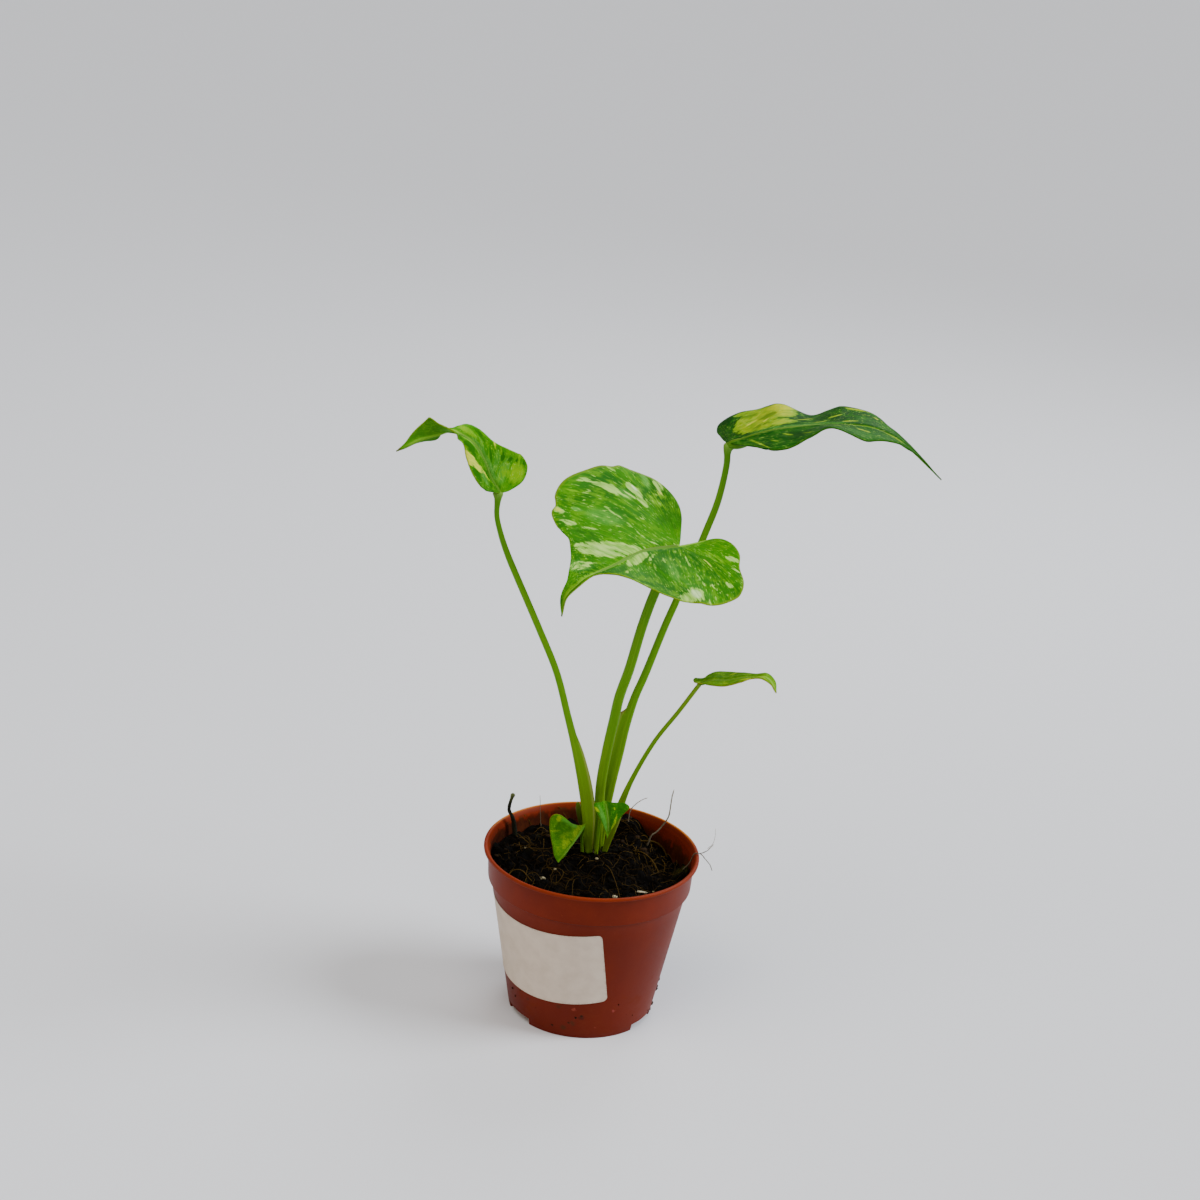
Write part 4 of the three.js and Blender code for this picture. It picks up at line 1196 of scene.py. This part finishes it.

# the midrib's route, where the upper face turns at the stalk, the outlines of the two halves as
# distance along and out, folds and roll in degrees at shares of the length; then the patches as
# along, out (left is plus), half length, half width, slant in degrees, cream, lime and dark, where
# a negative dark is a painted sheen
leaves = {
    "blade_left": {
        "midrib": [
            (-49, 11, 224), (-53, 9, 231), (-55, 7, 237), (-58, 5, 243), (-61, 3, 247),
            (-65, 1, 250), (-68, -1, 252), (-73, -4, 251), (-77, -6, 250), (-81, -8, 249),
            (-85, -10, 247), (-89, -12, 245),
        ],
        "facing": (0.3, -0.8, 0.4),
        "left": [
            (-1, 0), (1, 2.2), (4, 5), (8, 8.9), (13, 11.4), (19, 10.9), (25, 6.9), (31, 2.9),
            (36, 3.9), (40, 6.4), (43.6, 6.7), (46.3, 9.4), (47.2, 9.8), (48.2, 8.8), (50.6, 6.3),
            (56, 2.2), (62, 0),
        ],
        "right": [
            (-1, 0), (-3, 5), (-3.4, 11.6), (0, 16), (4.6, 16.6), (10.6, 14.9), (16, 10), (21, 7),
            (27, 6), (31.4, 5.2), (34.6, 3), (37, 1.3), (43, 4.2), (49, 4), (55, 2), (62, 0),
        ],
        "foldLeft": [(0, 45), (0.3, 35), (0.5, 0), (1, 0)],
        "foldRight": [(0, 0), (0.5, 0), (0.62, 20), (0.69, 12), (0.79, 42), (1, 30)],
        "roll": [(0, 0), (0.32, 0), (0.52, 25), (0.61, 90), (0.7, 145), (0.82, 170), (1, 170)],
        "fan": 0.3,
        "rows": 150,
        "columns": 26,
        "patches": [
            (6.4, -6.2, 5.6, 2.4, -48, 0, 0.5, -1), (12.6, -5, 4.2, 1.5, -30, 0, 0.34, -0.6),
            (0.8, -10.2, 4.6, 3.6, -62, 0.2, 1, 0), (3.4, -7.2, 4.4, 1.6, 28, 0, 0.8, 0),
            (3.8, -11.4, 2.4, 2.2, -50, 0, 0.9, 0), (24.5, 6.4, 5.6, 2.3, -8, 1.05, 1, 0),
            (18, 6.4, 4.2, 1.7, 18, 0.9, 1, 0), (29.6, 3.8, 2.6, 0.9, 6, 0.3, 0.9, 0),
            (11.4, 3.6, 5.4, 0.6, 16, 0.5, 1, 0), (31, -2.6, 4.8, 1.3, 0, 0.2, 0.9, 0),
            (20.3, -0.6, 9, 1.3, 0, 0, 0, -0.9), (11, -1.4, 6, 1.1, 0, 0, 0, -0.9),
            (11.4, 5.6, 4.4, 1.3, 12, 0, 0, -0.9), (31.5, 3, 1.8, 0.6, 0, 0, 0.8, 0),
            (22.5, -2.6, 2.6, 0.4, -20, 0, 0.4, -0.9), (15.5, -8.8, 2.2, 0.6, -30, 0, 0.7, 0),
            (6.5, -14.9, 6.4, 0.7, -34, 0, 0.9, 0), (19.5, -7.3, 2.4, 0.6, -20, 0.4, 1, 0),
            (2.5, -15.8, 2.4, 1, -50, 0, 0, 0.6), (9.4, -10.8, 1.6, 1.2, -40, 0, 0, 1),
            (12.9, -8.2, 1.8, 1, -30, 0, 0, 0.9), (5.6, -13.4, 1.4, 0.8, -30, 0, 0, 0.9),
            (-0.6, -6.4, 1.2, 0.8, -60, 0, 0, 0.7), (16.4, 9.4, 3.6, 1.5, 0, 0, 0, 0.9),
            (27, 2.2, 4, 1.5, 0, 0, 0, 0.9), (34, 1.6, 3, 1, 0, 0, 0, 0.6),
            (26, -4.6, 4, 0.8, -10, 0, 0, 0.6), (16, -3.4, 3, 0.7, -20, 0, 0, 0.8),
            (24, 3.6, 3, 1, 0, 0, 0, 0.8),
        ],
        "wave": 0.25,
    },
    "blade_centre": {
        "midrib": [
            (24, -12, 215), (10, -24, 216), (0, -36, 214), (-10, -47, 212), (-14, -52, 210),
            (-18, -55, 206), (-19, -57, 199),
        ],
        "facing": (0.1, -0.5, 0.86),
        "left": [
            (-1, 0), (-10.6, 0.1), (-18.4, 1.2), (-22.4, 5), (-22.6, 12), (-18.8, 18),
            (-15.4, 26.2), (-9.6, 31.4), (1.6, 33.4), (12, 34), (22, 32.5), (30, 28.5), (37, 22),
            (45, 13.5), (53, 5.5), (61, 3), (69, 0),
        ],
        "right": [
            (-1, 0), (-6, 7), (-11.4, 16), (-12.4, 25), (-8.2, 34.2), (2.8, 41.3), (5.8, 42.7),
            (9, 42.4), (12.4, 43.7), (17, 43), (22.6, 42.2), (29.2, 39.1), (34, 36.4), (36.6, 34.2),
            (40.4, 32.4), (43, 26), (42.7, 19.2), (45, 14.9), (49.6, 8.9), (58, 3.5), (69, 0),
        ],
        "foldLeft": [
            (0, 4), (0.2, 8), (0.36, 8), (0.43, 11), (0.57, 29), (0.65, 45), (0.76, 66), (1, 60),
        ],
        "foldRight": [(0, 5), (1, 0)],
        "lobeBend": 18,
        "fan": 0.4,
        "rows": 200,
        "columns": 44,
        "patches": [
            (32.5, -7.4, 12, 4.1, -27, 1.1, 0, 0), (40.5, -11.6, 4.6, 2.6, -40, 1, 0, 0),
            (24, -2.6, 7.6, 2.2, -16, 1, 0, 0), (24, 2.6, 7.6, 2.3, 6, 0.95, 0.1, 0),
            (17.6, 4.6, 3.4, 0.9, 26, 0.85, 0.2, 0), (17.6, -36.4, 4.6, 0.6, -60, 1, 0, 0),
            (14.4, -32, 4.8, 1.9, -58, 1, 0, 0), (12, -28.4, 3.4, 0.6, -56, 0.9, 0, 0),
            (5.4, -29, 4.8, 2.1, -72, 1.1, 0, 0), (5, -30.6, 2.6, 1, -70, 1.32, 0, 0),
            (9, -27.4, 3.2, 0.7, -62, 0.9, 0, 0), (5, -23.6, 4.2, 1.5, -66, 1, 0, 0),
            (1.6, -23.6, 2.8, 0.6, -66, 0.8, 0, 0), (10.5, -28, 3, 2.2, -60, 0, 0, -1),
            (37.4, -31.4, 2.8, 2.4, -40, 0.85, 0.35, 0), (28.4, -28.4, 2.2, 1, -45, 0, 0, -1),
            (38.2, -24.8, 4, 1.3, -38, 0.9, 0.2, 0), (31.4, -18.8, 4.6, 0.8, -36, 0.9, 0.2, 0),
            (19, -37, 4.4, 0.5, -58, 0.95, 0.2, 0), (-8.6, -30.5, 5.4, 2.2, -110, 0.85, 0.1, 0),
            (-4, -34, 5, 1.6, -100, 0, 0, -1), (10, -41.2, 2.6, 0.7, -60, 0.7, 0.2, 0),
            (6.2, -38, 2.6, 0.6, -70, 0.6, 0, 0), (24, -36, 2.6, 0.5, -50, 0, 0.8, 0),
            (1.4, 9.6, 3.6, 0.7, 78, 0.95, 0.2, 0), (13, 7.8, 2.6, 0.6, 58, 0.95, 0.3, 0),
            (21, 9.8, 2.8, 0.7, 50, 0.85, 0.4, 0), (-18.6, 13.4, 3.2, 1.3, 130, 1.1, 0, 0),
            (-16.2, 19.2, 2.6, 0.6, 120, 0.7, 0.2, 0), (-7, 12, 3, 0.4, 100, 0.6, 0.4, 0),
            (2, 19.6, 4.4, 0.6, 84, 0.8, 0.2, 0), (-8.8, 25.6, 2.2, 1.1, 100, 0.85, 0.3, 0),
            (-1, 24, 3, 0.5, 90, 0.6, 0.3, 0), (12, 28.6, 7, 3.9, 22, 1.2, 0, 0),
            (21.4, 29.6, 8, 2.8, -8, 1.05, 0, 0), (6, 32, 3.4, 1, 84, 0.7, 0, 0),
            (35.1, 6.9, 1.6, 0.7, 40, 0.8, 0.3, 0), (29.4, 7.6, 1.6, 0.6, 40, 0.7, 0.3, 0),
            (25, 13, 2, 0.4, 45, 0.6, 0.3, 0), (48.5, -6, 4.6, 2.4, -30, 0.62, 0, -1),
            (43.6, -4.8, 2.4, 0.6, -24, 0.7, 0, 0), (41, 17, 6, 0.6, -50, 0.45, 0, -1),
            (12.7, -20.4, 1.2, 0.5, -50, 0.9, 0, 0), (8.8, -15.8, 2.4, 0.4, -56, 0.8, 0, 0),
            (17, -21.4, 3, 0.35, -50, 0.5, 0.3, 0), (36, -17, 8, 4.4, -34, 0, 0, 0.42),
            (26, -14, 6, 3.4, -34, 0, 0, 0.36), (40, 4, 10, 2.6, 4, 0, 0, 0.55),
            (20, 13, 9, 5, 50, 0, 0, 0.5), (10, 4, 5, 2.2, 20, 0, 0, 0.42),
            (-3, -12, 5, 9, -90, 0, 0, 0.45), (28, -34, 6, 2, -50, 0, 0.4, 0.3),
            (22, -20, 7, 3.4, -44, 0, 0, -0.7), (14, 15, 6, 3, 55, 0, 0, -0.6),
            (-12, 10, 5, 3, 110, 0, 0.45, 0), (-4, -24, 6, 5, -90, 0, 0.42, 0),
            (54, 0, 11, 1.5, 0, 0, 0.75, 0), (47, 0.2, 8, 0.9, 0, 0, 0.7, 0),
        ],
        "paleVein": [
            (9, -1.2), (12.4, -3.6), (14.2, -7.4), (16, -12.8), (18, -18.6), (19.4, -24.4),
        ],
        "wave": 0.35,
    },
    "blade_right": {
        "midrib": [
            (42, 24, 248), (57, 22, 255), (68, 21, 258), (78, 20, 260), (87, 19, 261),
            (97, 19, 261), (104, 19, 259), (110, 20, 256), (117, 21, 251), (129, 23, 240),
        ],
        "facing": (0, 0, 1),
        "left": [
            (-1, 0), (-2.6, 5.2), (-5, 12.5), (-7.2, 20.6), (-6, 28.6), (2, 34.4), (14, 34),
            (25, 32), (38, 28), (52, 22), (63, 15), (74, 8), (85, 3), (97, 0),
        ],
        "right": [
            (-1, 0), (5, 3), (10, 10), (15, 18), (20, 24), (27, 26), (34, 23), (42, 19), (50, 17),
            (58, 15), (67, 10), (78, 4), (97, 0),
        ],
        "foldLeft": [
            (0, 5.5), (0.1, 3), (0.22, 3), (0.34, -7), (0.46, 2), (0.6, 5), (0.75, 5), (1, 0),
        ],
        "foldRight": [
            (0, -3), (0.25, -3), (0.36, 4), (0.46, 12.5), (0.58, -6), (0.7, 4), (0.8, 2), (1, 0),
        ],
        "fan": 0.35,
        "rows": 210,
        "columns": 40,
        "patches": [
            (10, 12, 9, 7, 40, 0, 0.95, 0), (14, 20, 8, 11, 20, 0, 0.95, 0),
            (22, 22, 5, 8, 0, 0, 1.15, 0), (19, 8, 9, 4.4, 20, 0, 0.95, 0),
            (9, 30, 9, 4.4, 0, 0, 0.9, 0), (20, 28, 7, 5, 0, 0, 1.45, 0),
            (4.4, 18, 10, 3.6, 82, 0, 0.9, 0), (-5, 28, 4, 5, 0, 0, 0, 1),
            (15.6, 19.4, 5, 3, 30, 0, 0, 0.62), (12, 9, 4, 2, 45, 0, 0, 0.46),
            (6.6, 25.6, 4, 2.4, 20, 0, 0, 0.52), (8.3, 16.8, 3.2, 0.9, 50, 0.9, 0.8, 0),
            (15.4, 14, 2.4, 0.8, 40, 0.7, 0.8, 0), (22, 14, 3, 0.8, 40, 0, 0, 0.4),
            (14, -13, 11, 0.45, -62, 0.3, 0.9, 0), (25.3, -9.3, 3, 0.7, -40, 0, 1, 0),
            (20, -14, 3, 0.4, -50, 0, 0.8, 0), (31, 14.9, 4.4, 0.7, 36, 0, 1, 0),
            (37, 4.6, 3.4, 0.6, 20, 0, 1, 0), (43.2, 11, 3.6, 0.8, 24, 0, 1, 0),
            (50, 4, 3.4, 0.8, 10, 0, 1, 0), (53, 18.6, 6, 1, -26, 0.2, 1, 0),
            (59.5, 11.6, 6, 0.6, -18, 0.6, 0.7, 0), (55, -5.8, 3, 0.6, -20, 0, 1, 0),
            (68, -2.8, 5, 0.7, -8, 0, 0.9, 0), (45, -8, 3, 0.5, -30, 0, 0.8, 0),
            (62, 6, 9, 3.4, 0, 0, 0, -0.2), (34, -14, 4, 0.6, -40, 0, 0.7, 0),
            (52, -10, 12, 3.4, -8, 0, 0, -0.25), (28, 1.4, 20, 1.5, 0, 0, 0, -0.7),
            (28, -12, 8, 6, -40, 0, 0, 0.5),
        ],
        "wave": 0.3,
    },
    "blade_small_right": {
        "midrib": [
            (38, -6, 155), (43, -7, 157), (49, -8, 158), (55, -9, 160), (60, -10, 161),
            (64, -11, 162), (67, -12, 160), (69, -13, 156),
        ],
        "facing": (0, 0, 1),
        "left": [
            (-1, 0), (-2.6, 1.6), (-3.2, 4), (-2.8, 5.6), (-1, 4.4), (1.4, 3.4), (3.4, 6.4),
            (5.6, 8.6), (11, 9.9), (17, 6.4), (23, 3.9), (29, 3.5), (33, 2.1), (36, 0),
        ],
        "right": [
            (-1, 0), (-0.5, 0.8), (1.4, 2.2), (6, 5.6), (12, 6.6), (18, 6.1), (24, 3.8), (29, 3.2),
            (36, 0),
        ],
        "foldLeft": [(0, 6), (0.3, 0), (1, 0)],
        "foldRight": [(0, 0), (0.5, 5), (0.65, 15), (0.8, 0), (1, 0)],
        "fan": 0.3,
        "rows": 100,
        "columns": 20,
        "patches": [
            (20.7, -4.6, 3.4, 1.1, -20, 0.1, 1, 0), (11.9, -4.8, 1.6, 0.7, -30, 0.1, 0.9, 0),
            (27, -2.4, 3, 0.5, -10, 0.1, 0.8, 0), (14, 6, 3, 0.7, 20, 0.1, 0.8, 0),
        ],
        "wave": 0.12,
    },
    "blade_low_left": {
        "midrib": [
            (-3.8, 0, 83.7), (-5.6, -3, 81.1), (-8, -6, 78), (-10.8, -8.5, 74.3),
            (-13.6, -10.5, 70.8),
        ],
        "facing": (0.2, -0.8, 0.5),
        "left": [(-1, 0), (-1, 2), (1, 4), (5, 5), (9, 4), (13, 2.5), (17, 1), (20, 0)],
        "right": [
            (-1, 0), (1.4, 2.1), (2.6, 5.4), (2.2, 9.1), (2.2, 11.3), (3.2, 13.3), (5.5, 14),
            (7.9, 13.1), (11.9, 10.2), (15.9, 6.2), (18.8, 3), (20, 0),
        ],
        "foldLeft": [(0, -100), (0.5, -100), (1, -60)],
        "foldRight": [(0, 5), (0.5, -10), (1, 0)],
        "fan": 0.05,
        "rows": 80,
        "columns": 20,
        "patches": [
            (5, -1.6, 6, 1.6, 0, 0, 0.46, 0), (12, -3, 5, 2, -8, 0, 0.44, 0),
            (8.6, -5, 3, 1.4, -20, 0, 0.42, 0), (3.6, -11.6, 1.2, 0.6, 0, 0, 0.6, 0),
            (10.3, -10.2, 5, 0.7, -50, 0, 0.46, 0), (3, -5.6, 1, 4.4, 8, 0, 0, -1),
            (6.4, -7, 5, 3.4, -20, 0, 0, 0.5), (4, -10.8, 1.4, 0.9, 0, 0, 0.9, 0),
            (11, -6.4, 3, 1.2, -40, 0, 0, 0.5),
        ],
        "wave": 0.1,
    },
    "blade_low_right": {
        "midrib": [(4, -2, 96), (5, -4, 93), (6, -6, 88), (6, -7, 82)],
        "facing": (0, -0.8, 0.6),
        "left": [(-1, 0), (1.1, 4), (2, 8), (3.4, 9.5), (5.2, 7), (8.6, 2.9), (11.6, 1.2), (15, 0)],
        "right": [(-1, 0), (-0.6, 2), (-0.2, 4.6), (2, 4.6), (6, 3.3), (10, 1.9), (12, 1), (15, 0)],
        "foldLeft": [(0, 5), (1, 0)],
        "foldRight": [(0, 5), (1, 0)],
        "fan": 0.3,
        "rows": 70,
        "columns": 16,
        "patches": [
            (2.2, -4, 1.6, 0.55, 30, 0.3, 1, 0), (3.2, 3.4, 0.6, 0.4, 0, 0, 0.9, 0),
            (8.4, 2.6, 4, 0.5, -24, 0, 0.7, 0), (6, -2, 6, 0.8, 10, 0, 0, -1),
        ],
        "wave": 0.1,
    },
}


def midribFrames(leaf):
    route = Route(leaf["midrib"], 24)
    frames = []
    carried = Vector(leaf["facing"])
    for i in range(midribSteps + 1):
        share = i / midribSteps
        heading = route.heading(share)
        if frames:
            carried.rotate(frames[-1][1].rotation_difference(heading))
        carried = (carried - heading * heading.dot(carried)).normalized()
        roll = math.radians(smoothValue(leaf["roll"], share)) if "roll" in leaf else 0.0
        upper = Matrix.Rotation(roll, 3, heading) @ carried
        frames.append((route.point(share), heading, upper))
    return frames, route.length


def bladePoint(leaf, frames, length, along, out, side, lift):
    share = clamp(along / length)
    place = share * midribSteps
    i = min(int(place), midribSteps - 1)
    t = place - i
    point = frames[i][0].lerp(frames[i + 1][0], t)
    heading = frames[i][1].lerp(frames[i + 1][1], t).normalized()
    upper = frames[i][2].lerp(frames[i + 1][2], t)
    upper = (upper - heading * heading.dot(upper)).normalized()
    leftward = upper.cross(heading)
    if along < 0:
        bend = math.radians(leaf.get("lobeBend", 0) * -along / 20)
        point += heading * (along * math.cos(bend / 2)) - upper * (along * math.sin(bend / 2))
        upper = upper * math.cos(bend) + heading * math.sin(bend)
    fold = math.radians(smoothValue(leaf["foldLeft" if side > 0 else "foldRight"], share))
    outward = leftward * side * math.cos(fold) + upper * math.sin(fold)
    face = upper * math.cos(fold) - leftward * side * math.sin(fold)
    return point + outward * out + face * lift


def patchAmounts(leaf, along, out):
    # cream, lime, dark and a painted sheen, which is written as a negative dark
    cream = lime = dark = paintedSheen = 0.0
    for x, y, halfLong, halfWide, slant, creamy, limy, darkAndSheen in leaf["patches"]:
        turn = math.radians(slant)
        dx, dy = along - x, out - y
        lengthways = (dx * math.cos(turn) + dy * math.sin(turn)) / halfLong
        sideways = (dy * math.cos(turn) - dx * math.sin(turn)) / halfWide
        far = math.hypot(lengthways, sideways)
        if far > 1.5:
            continue
        amount = 1 - ease(far, 0.55, 1.4)
        cream, lime = max(cream, creamy * amount), max(lime, limy * amount)
        dark, paintedSheen = max(dark, darkAndSheen * amount), max(paintedSheen, -darkAndSheen * amount)
    vein = leaf.get("paleVein", [])
    for a, b in zip(vein, vein[1:]):
        a, b, p = Vector(a), Vector(b), Vector((along, out))
        t = clamp((p - a).dot(b - a) / (b - a).length_squared)
        far = (p - a.lerp(b, t)).length
        cream = max(cream, 1.1 * (1 - ease(far, 0.08, 0.46)))
    return cream, lime, dark, paintedSheen


def bladeMesh(leaf):
    bm = bmesh.new()
    flatUv = bm.loops.layers.uv.new("leafFlat")
    veinUv = bm.loops.layers.uv.new("leafVein")
    paint = bm.verts.layers.float_color.new("paint")
    frames, length = midribFrames(leaf)
    for side in (1, -1):
        outline = Route([(x, y, 0) for x, y in leaf["left" if side > 0 else "right"]], 24)
        tip = outline.points[-1].x
        rows, columns = leaf["rows"], leaf["columns"]
        made = bmesh.ops.create_grid(bm, x_segments=rows, y_segments=columns, size=1)["verts"]
        places = {}
        for v in made:
            share, across = clamp((v.co.x + 1) / 2), clamp((v.co.y + 1) / 2)
            across = 0.5 * across + 0.5 * across**1.6  # closer together at the midrib
            margin = outline.point(share)
            marginX = margin.x * length / tip if margin.x > 0 else margin.x
            start = length * (max(0.0, share - leaf["fan"]) / (1 - leaf["fan"])) ** 0.9
            along, out = start + (marginX - start) * across, margin.y * across
            places[v] = (share, across, along, out)
        for face in {f for v in made for f in v.link_faces}:
            for loop in face.loops:
                share, across, along, out = places[loop.vert]
                loop[flatUv].uv = (along / 100, side * out / 100)
                loop[veinUv].uv = (share, across)
        for v, (share, across, along, out) in places.items():
            slim = 1 - ease(share, 0.9, 1)
            groove = -bladeRelief["groove"] * math.exp(-((out / bladeRelief["grooveSpread"]) ** 2))
            groove *= slim * ease(along, -1, 2)
            crestOff = (out - bladeRelief["crestOut"]) / bladeRelief["crestSpread"]
            crest = bladeRelief["crest"] * math.exp(-(crestOff**2)) * slim
            veinPhase = math.cos(share * 2 * math.pi * sideVeins)
            ribs = -bladeRelief["rib"] * leaf["wave"] * max(0.0, veinPhase) ** 6
            ribs *= ease(across, 0.05, 0.3) * (1 - ease(across, 0.75, 1))
            puckerPlace = Vector((share * 30, across * 3.5, side * 4))
            pucker = bladeRelief["pucker"] * leaf["wave"] * noise.noise(puckerPlace)
            ribs += pucker * ease(out, 1, 5)
            ripplePlace = Vector((along, side * out, 7)) / 9
            ripple = leaf["wave"] * noise.noise(ripplePlace) * ease(out, 0, 8)
            droop = -bladeRelief["droop"] * ease(across, 0.9, 1) * ease(out, 2, 6)
            lift = groove + crest + ribs + ripple + droop
            v.co = bladePoint(leaf, frames, length, along, out, side, lift)
            v[paint] = patchAmounts(leaf, along, side * out)
        if side < 0:
            bmesh.ops.reverse_faces(bm, faces=list({f for v in made for f in v.link_faces}))
    bmesh.ops.remove_doubles(bm, verts=bm.verts[:], dist=1e-4)
    return bm


def bladeSkin(name, greens, ribShade, tipShare, edge, under):
    look = Finish(name)
    along, out, _ = look.axes(look.uv("leafFlat"))
    share, across, _ = look.axes(look.uv("leafVein"))
    side = out.eased(-0.0001, 0.0001)
    flat = look.joined(along, out, 0)
    swept = share - across * 0.13  # the side veins sweep towards the tip
    veinward = look.joined(swept * 46, across * 3.2, side * 5)
    streaks = look.noise(veinward, 1.6, 3, 0.55)
    fineStreaks = look.noise(look.joined(swept * 150, across * 5, side * 9), 1.2, 2, 0.5)
    blotch = look.noise(flat, 26, 4, 0.6)
    broad = look.noise(flat, 5, 2, 0.5)
    pebble = look.noise(flat, 330, 2, 0.6)
    cream, lime, dark = look.axes(look.attribute("paint", "Color"))
    paintedSheen = look.attribute("paint", "Alpha")
    wander = (streaks - 0.5) * 1.8 + (blotch - 0.5) * 1.9 + (fineStreaks - 0.5) * 1.7

    deep, fresh, bright, limeLow, limeHigh = greens
    look.colour = look.mix(broad.eased(0.35, 0.65), deep, fresh)
    look.paint((blotch * 0.4 + streaks * 0.6).eased(0.46, 0.62) * 0.6, bright)
    look.paint((fineStreaks * 0.7 + blotch * 0.3).eased(0.54, 0.66) * 0.4, bright)
    # painted sheen: soft pale patches where the glossy blade catches the light
    look.paint((paintedSheen * (0.5 + wander * 0.5)).high(0).low(1), (88, 156, 62))
    limeEdge = (lime + wander * 0.8 * (lime * 1.6).low(1)).eased(0.3, 0.62)
    limeShift = (blotch * 0.5 + streaks * 0.5).eased(0.4, 0.6) * 0.45 + (lime - 0.9) * 1.2
    limeTone = look.mix(limeShift.high(0).low(1), limeLow, limeHigh)
    look.paint(limeEdge * 0.95, limeTone)
    creamEdge = (cream + wander * (cream * 1.6).low(1)).eased(0.4, 0.66)
    creamTone = look.mix(streaks.eased(0.35, 0.65), (128, 182, 62), (166, 204, 98))
    creamTone = look.mix(limeEdge * 0.9, creamTone, (200, 200, 56))
    # past 1.05 the cream turns near white: partly the cream of the marking, partly a painted sheen
    creamTone = look.mix((cream - 1.05).eased(0.0, 0.3), creamTone, (212, 230, 184))
    look.paint(creamEdge * (0.66 + streaks.eased(0.35, 0.6) * 0.28), creamTone)
    # scattered small flecks along the side veins
    dashes = look.noise(look.joined(swept * 230, across * 16, side * 3), 1, 1, 0.4)
    flecks = dashes.eased(0.62, 0.7) * (1 - creamEdge) * (0.4 + blotch.eased(0.4, 0.6))
    look.paint(flecks * 0.5, (160, 204, 84))
    darkEdge = (dark + wander * 0.6).eased(0.3, 0.6)
    darkTone = look.mix(limeEdge * 0.5, deep, limeLow)
    look.paint(darkEdge * 0.9, darkTone)
    # midrib, side veins and margin
    rib = 1 - out.absolute().eased(0.003, 0.011)
    look.paint(rib * ribShade * (1 - share.eased(0.9, 1.0)), (136, 184, 50))
    lateral = 1 - (swept * math.pi * sideVeins).sine().absolute().eased(0.0, 0.1)
    lateral = lateral * across.eased(0.02, 0.2)
    look.paint(lateral * 0.12, (120, 170, 60))
    margin = across.eased(0.965, 1.0)
    look.paint(margin * 0.6, edge)
    # the points have dried a little
    look.paint(share.eased(tipShare, tipShare + 0.015) * 0.85, (92, 58, 30))
    if under:
        look.paint(0.4, (70, 130, 18))
    rough = 0.42 + blotch * 0.18 + creamEdge * 0.06 + (0.18 if under else 0.0)
    shine = 0.03 if "_right" in name else 0.055
    gloss = {"Specular_IOR_Level": shine, "Specular_Tint": (0.7, 1, 0.3, 1)}
    height = pebble * 0.35 + fineStreaks * 0.3 - lateral * 0.4 + streaks * 0.4
    return look.done(rough, height, 0.0002, 0.8 if under else 0.5, **gloss)


# the darkest, middle and brightest green, then the two yellow-greens of the markings
leafGreens = {
    "blade_left": ((26, 92, 0), (50, 122, 0), (90, 150, 0), (98, 154, 0), (140, 178, 0)),
    "blade_centre": ((22, 86, 6), (46, 116, 0), (92, 150, 0), (98, 154, 0), (132, 174, 0)),
    "blade_right": ((4, 54, 2), (14, 74, 2), (36, 102, 2), (108, 148, 0), (176, 182, 0)),
    "blade_small_right": ((52, 100, 0), (80, 130, 0), (114, 154, 0), (128, 160, 0), (158, 182, 0)),
    "blade_low_left": ((32, 84, 0), (54, 108, 0), (86, 130, 0), (112, 142, 0), (150, 164, 0)),
    "blade_low_right": ((24, 86, 0), (32, 106, 0), (54, 132, 2), (130, 162, 0), (176, 196, 0)),
}
# the thin margin's own tint where it differs
leafEdges = {
    "blade_right": (44, 84, 10),
    "blade_low_left": (132, 84, 12),
    "blade_small_right": (150, 132, 30),
}


def keelMesh(leaf, stalk, radius):
    # the midrib stands out below the blade and runs into the stalk
    bm = bmesh.new()
    layer = bm.loops.layers.uv.new("length")
    frames, _ = midribFrames(leaf)
    stem = Route(stalk["route"])
    points = [stem.point(0.985), stem.point(0.995)]
    for share in (0.05, 0.12, 0.22, 0.35, 0.5, 0.65, 0.8):
        place, _, upper = frames[int(share * midribSteps)]
        points.append(place - upper * (0.12 + radius * 0.75 * (1 - share) ** 2))

    def ring(turn, share):
        wide = radius * (1 - share) ** 1.3 * (0.5 + 0.5 * ease(share, 0, 0.07)) + 0.16
        return roundRing(turn, wide * taper(share, 0.01))

    wrapTube(bm, Route(points, 12), 20, 130, ring, layer)
    closeUp(bm)
    return bm


keelSkin = stalkSkin("paleKeel", (66, 116, 16), (84, 132, 40), (104, 146, 60), (120, 156, 80))
keels = {
    "blade_left": ("petiole_left", 1.25),
    "blade_centre": ("petiole_centre", 1.7),
    "blade_right": ("petiole_right", 2.2),
    "blade_small_right": ("petiole_small_right", 0.7),
    "blade_low_left": ("petiole_low_left", 0.5),
    "blade_low_right": ("petiole_low_right", 0.55),
}
for leafName, (stalkName, radius) in keels.items():
    keelPiece = keelMesh(leaves[leafName], stalks[stalkName], radius)
    addPiece(leafName + "_keel", keelPiece, None, [keelSkin])

ribShades = {"blade_right": 0.4, "blade_low_left": 0.25, "blade_low_right": 0.25}
for leafName, leaf in leaves.items():
    ribShade = ribShades.get(leafName, 0.75)
    edge = leafEdges.get(leafName, (128, 150, 20))
    tipShare = 0.965 if leafName == "blade_left" else 0.99
    skins = [
        bladeSkin(leafName + face, leafGreens[leafName], ribShade, tipShare, edge, face == "Under")
        for face in ("Top", "Under")
    ]
    piece = addPiece(leafName + "_skin", bladeMesh(leaf), leafName, skins)
    thick = piece.modifiers.new("leafThickness", "SOLIDIFY")
    thick.thickness = leafThickness * mm
    thick.offset = 0
    thick.use_even_offset = False
    thick.material_offset = 1
    print(leafName)
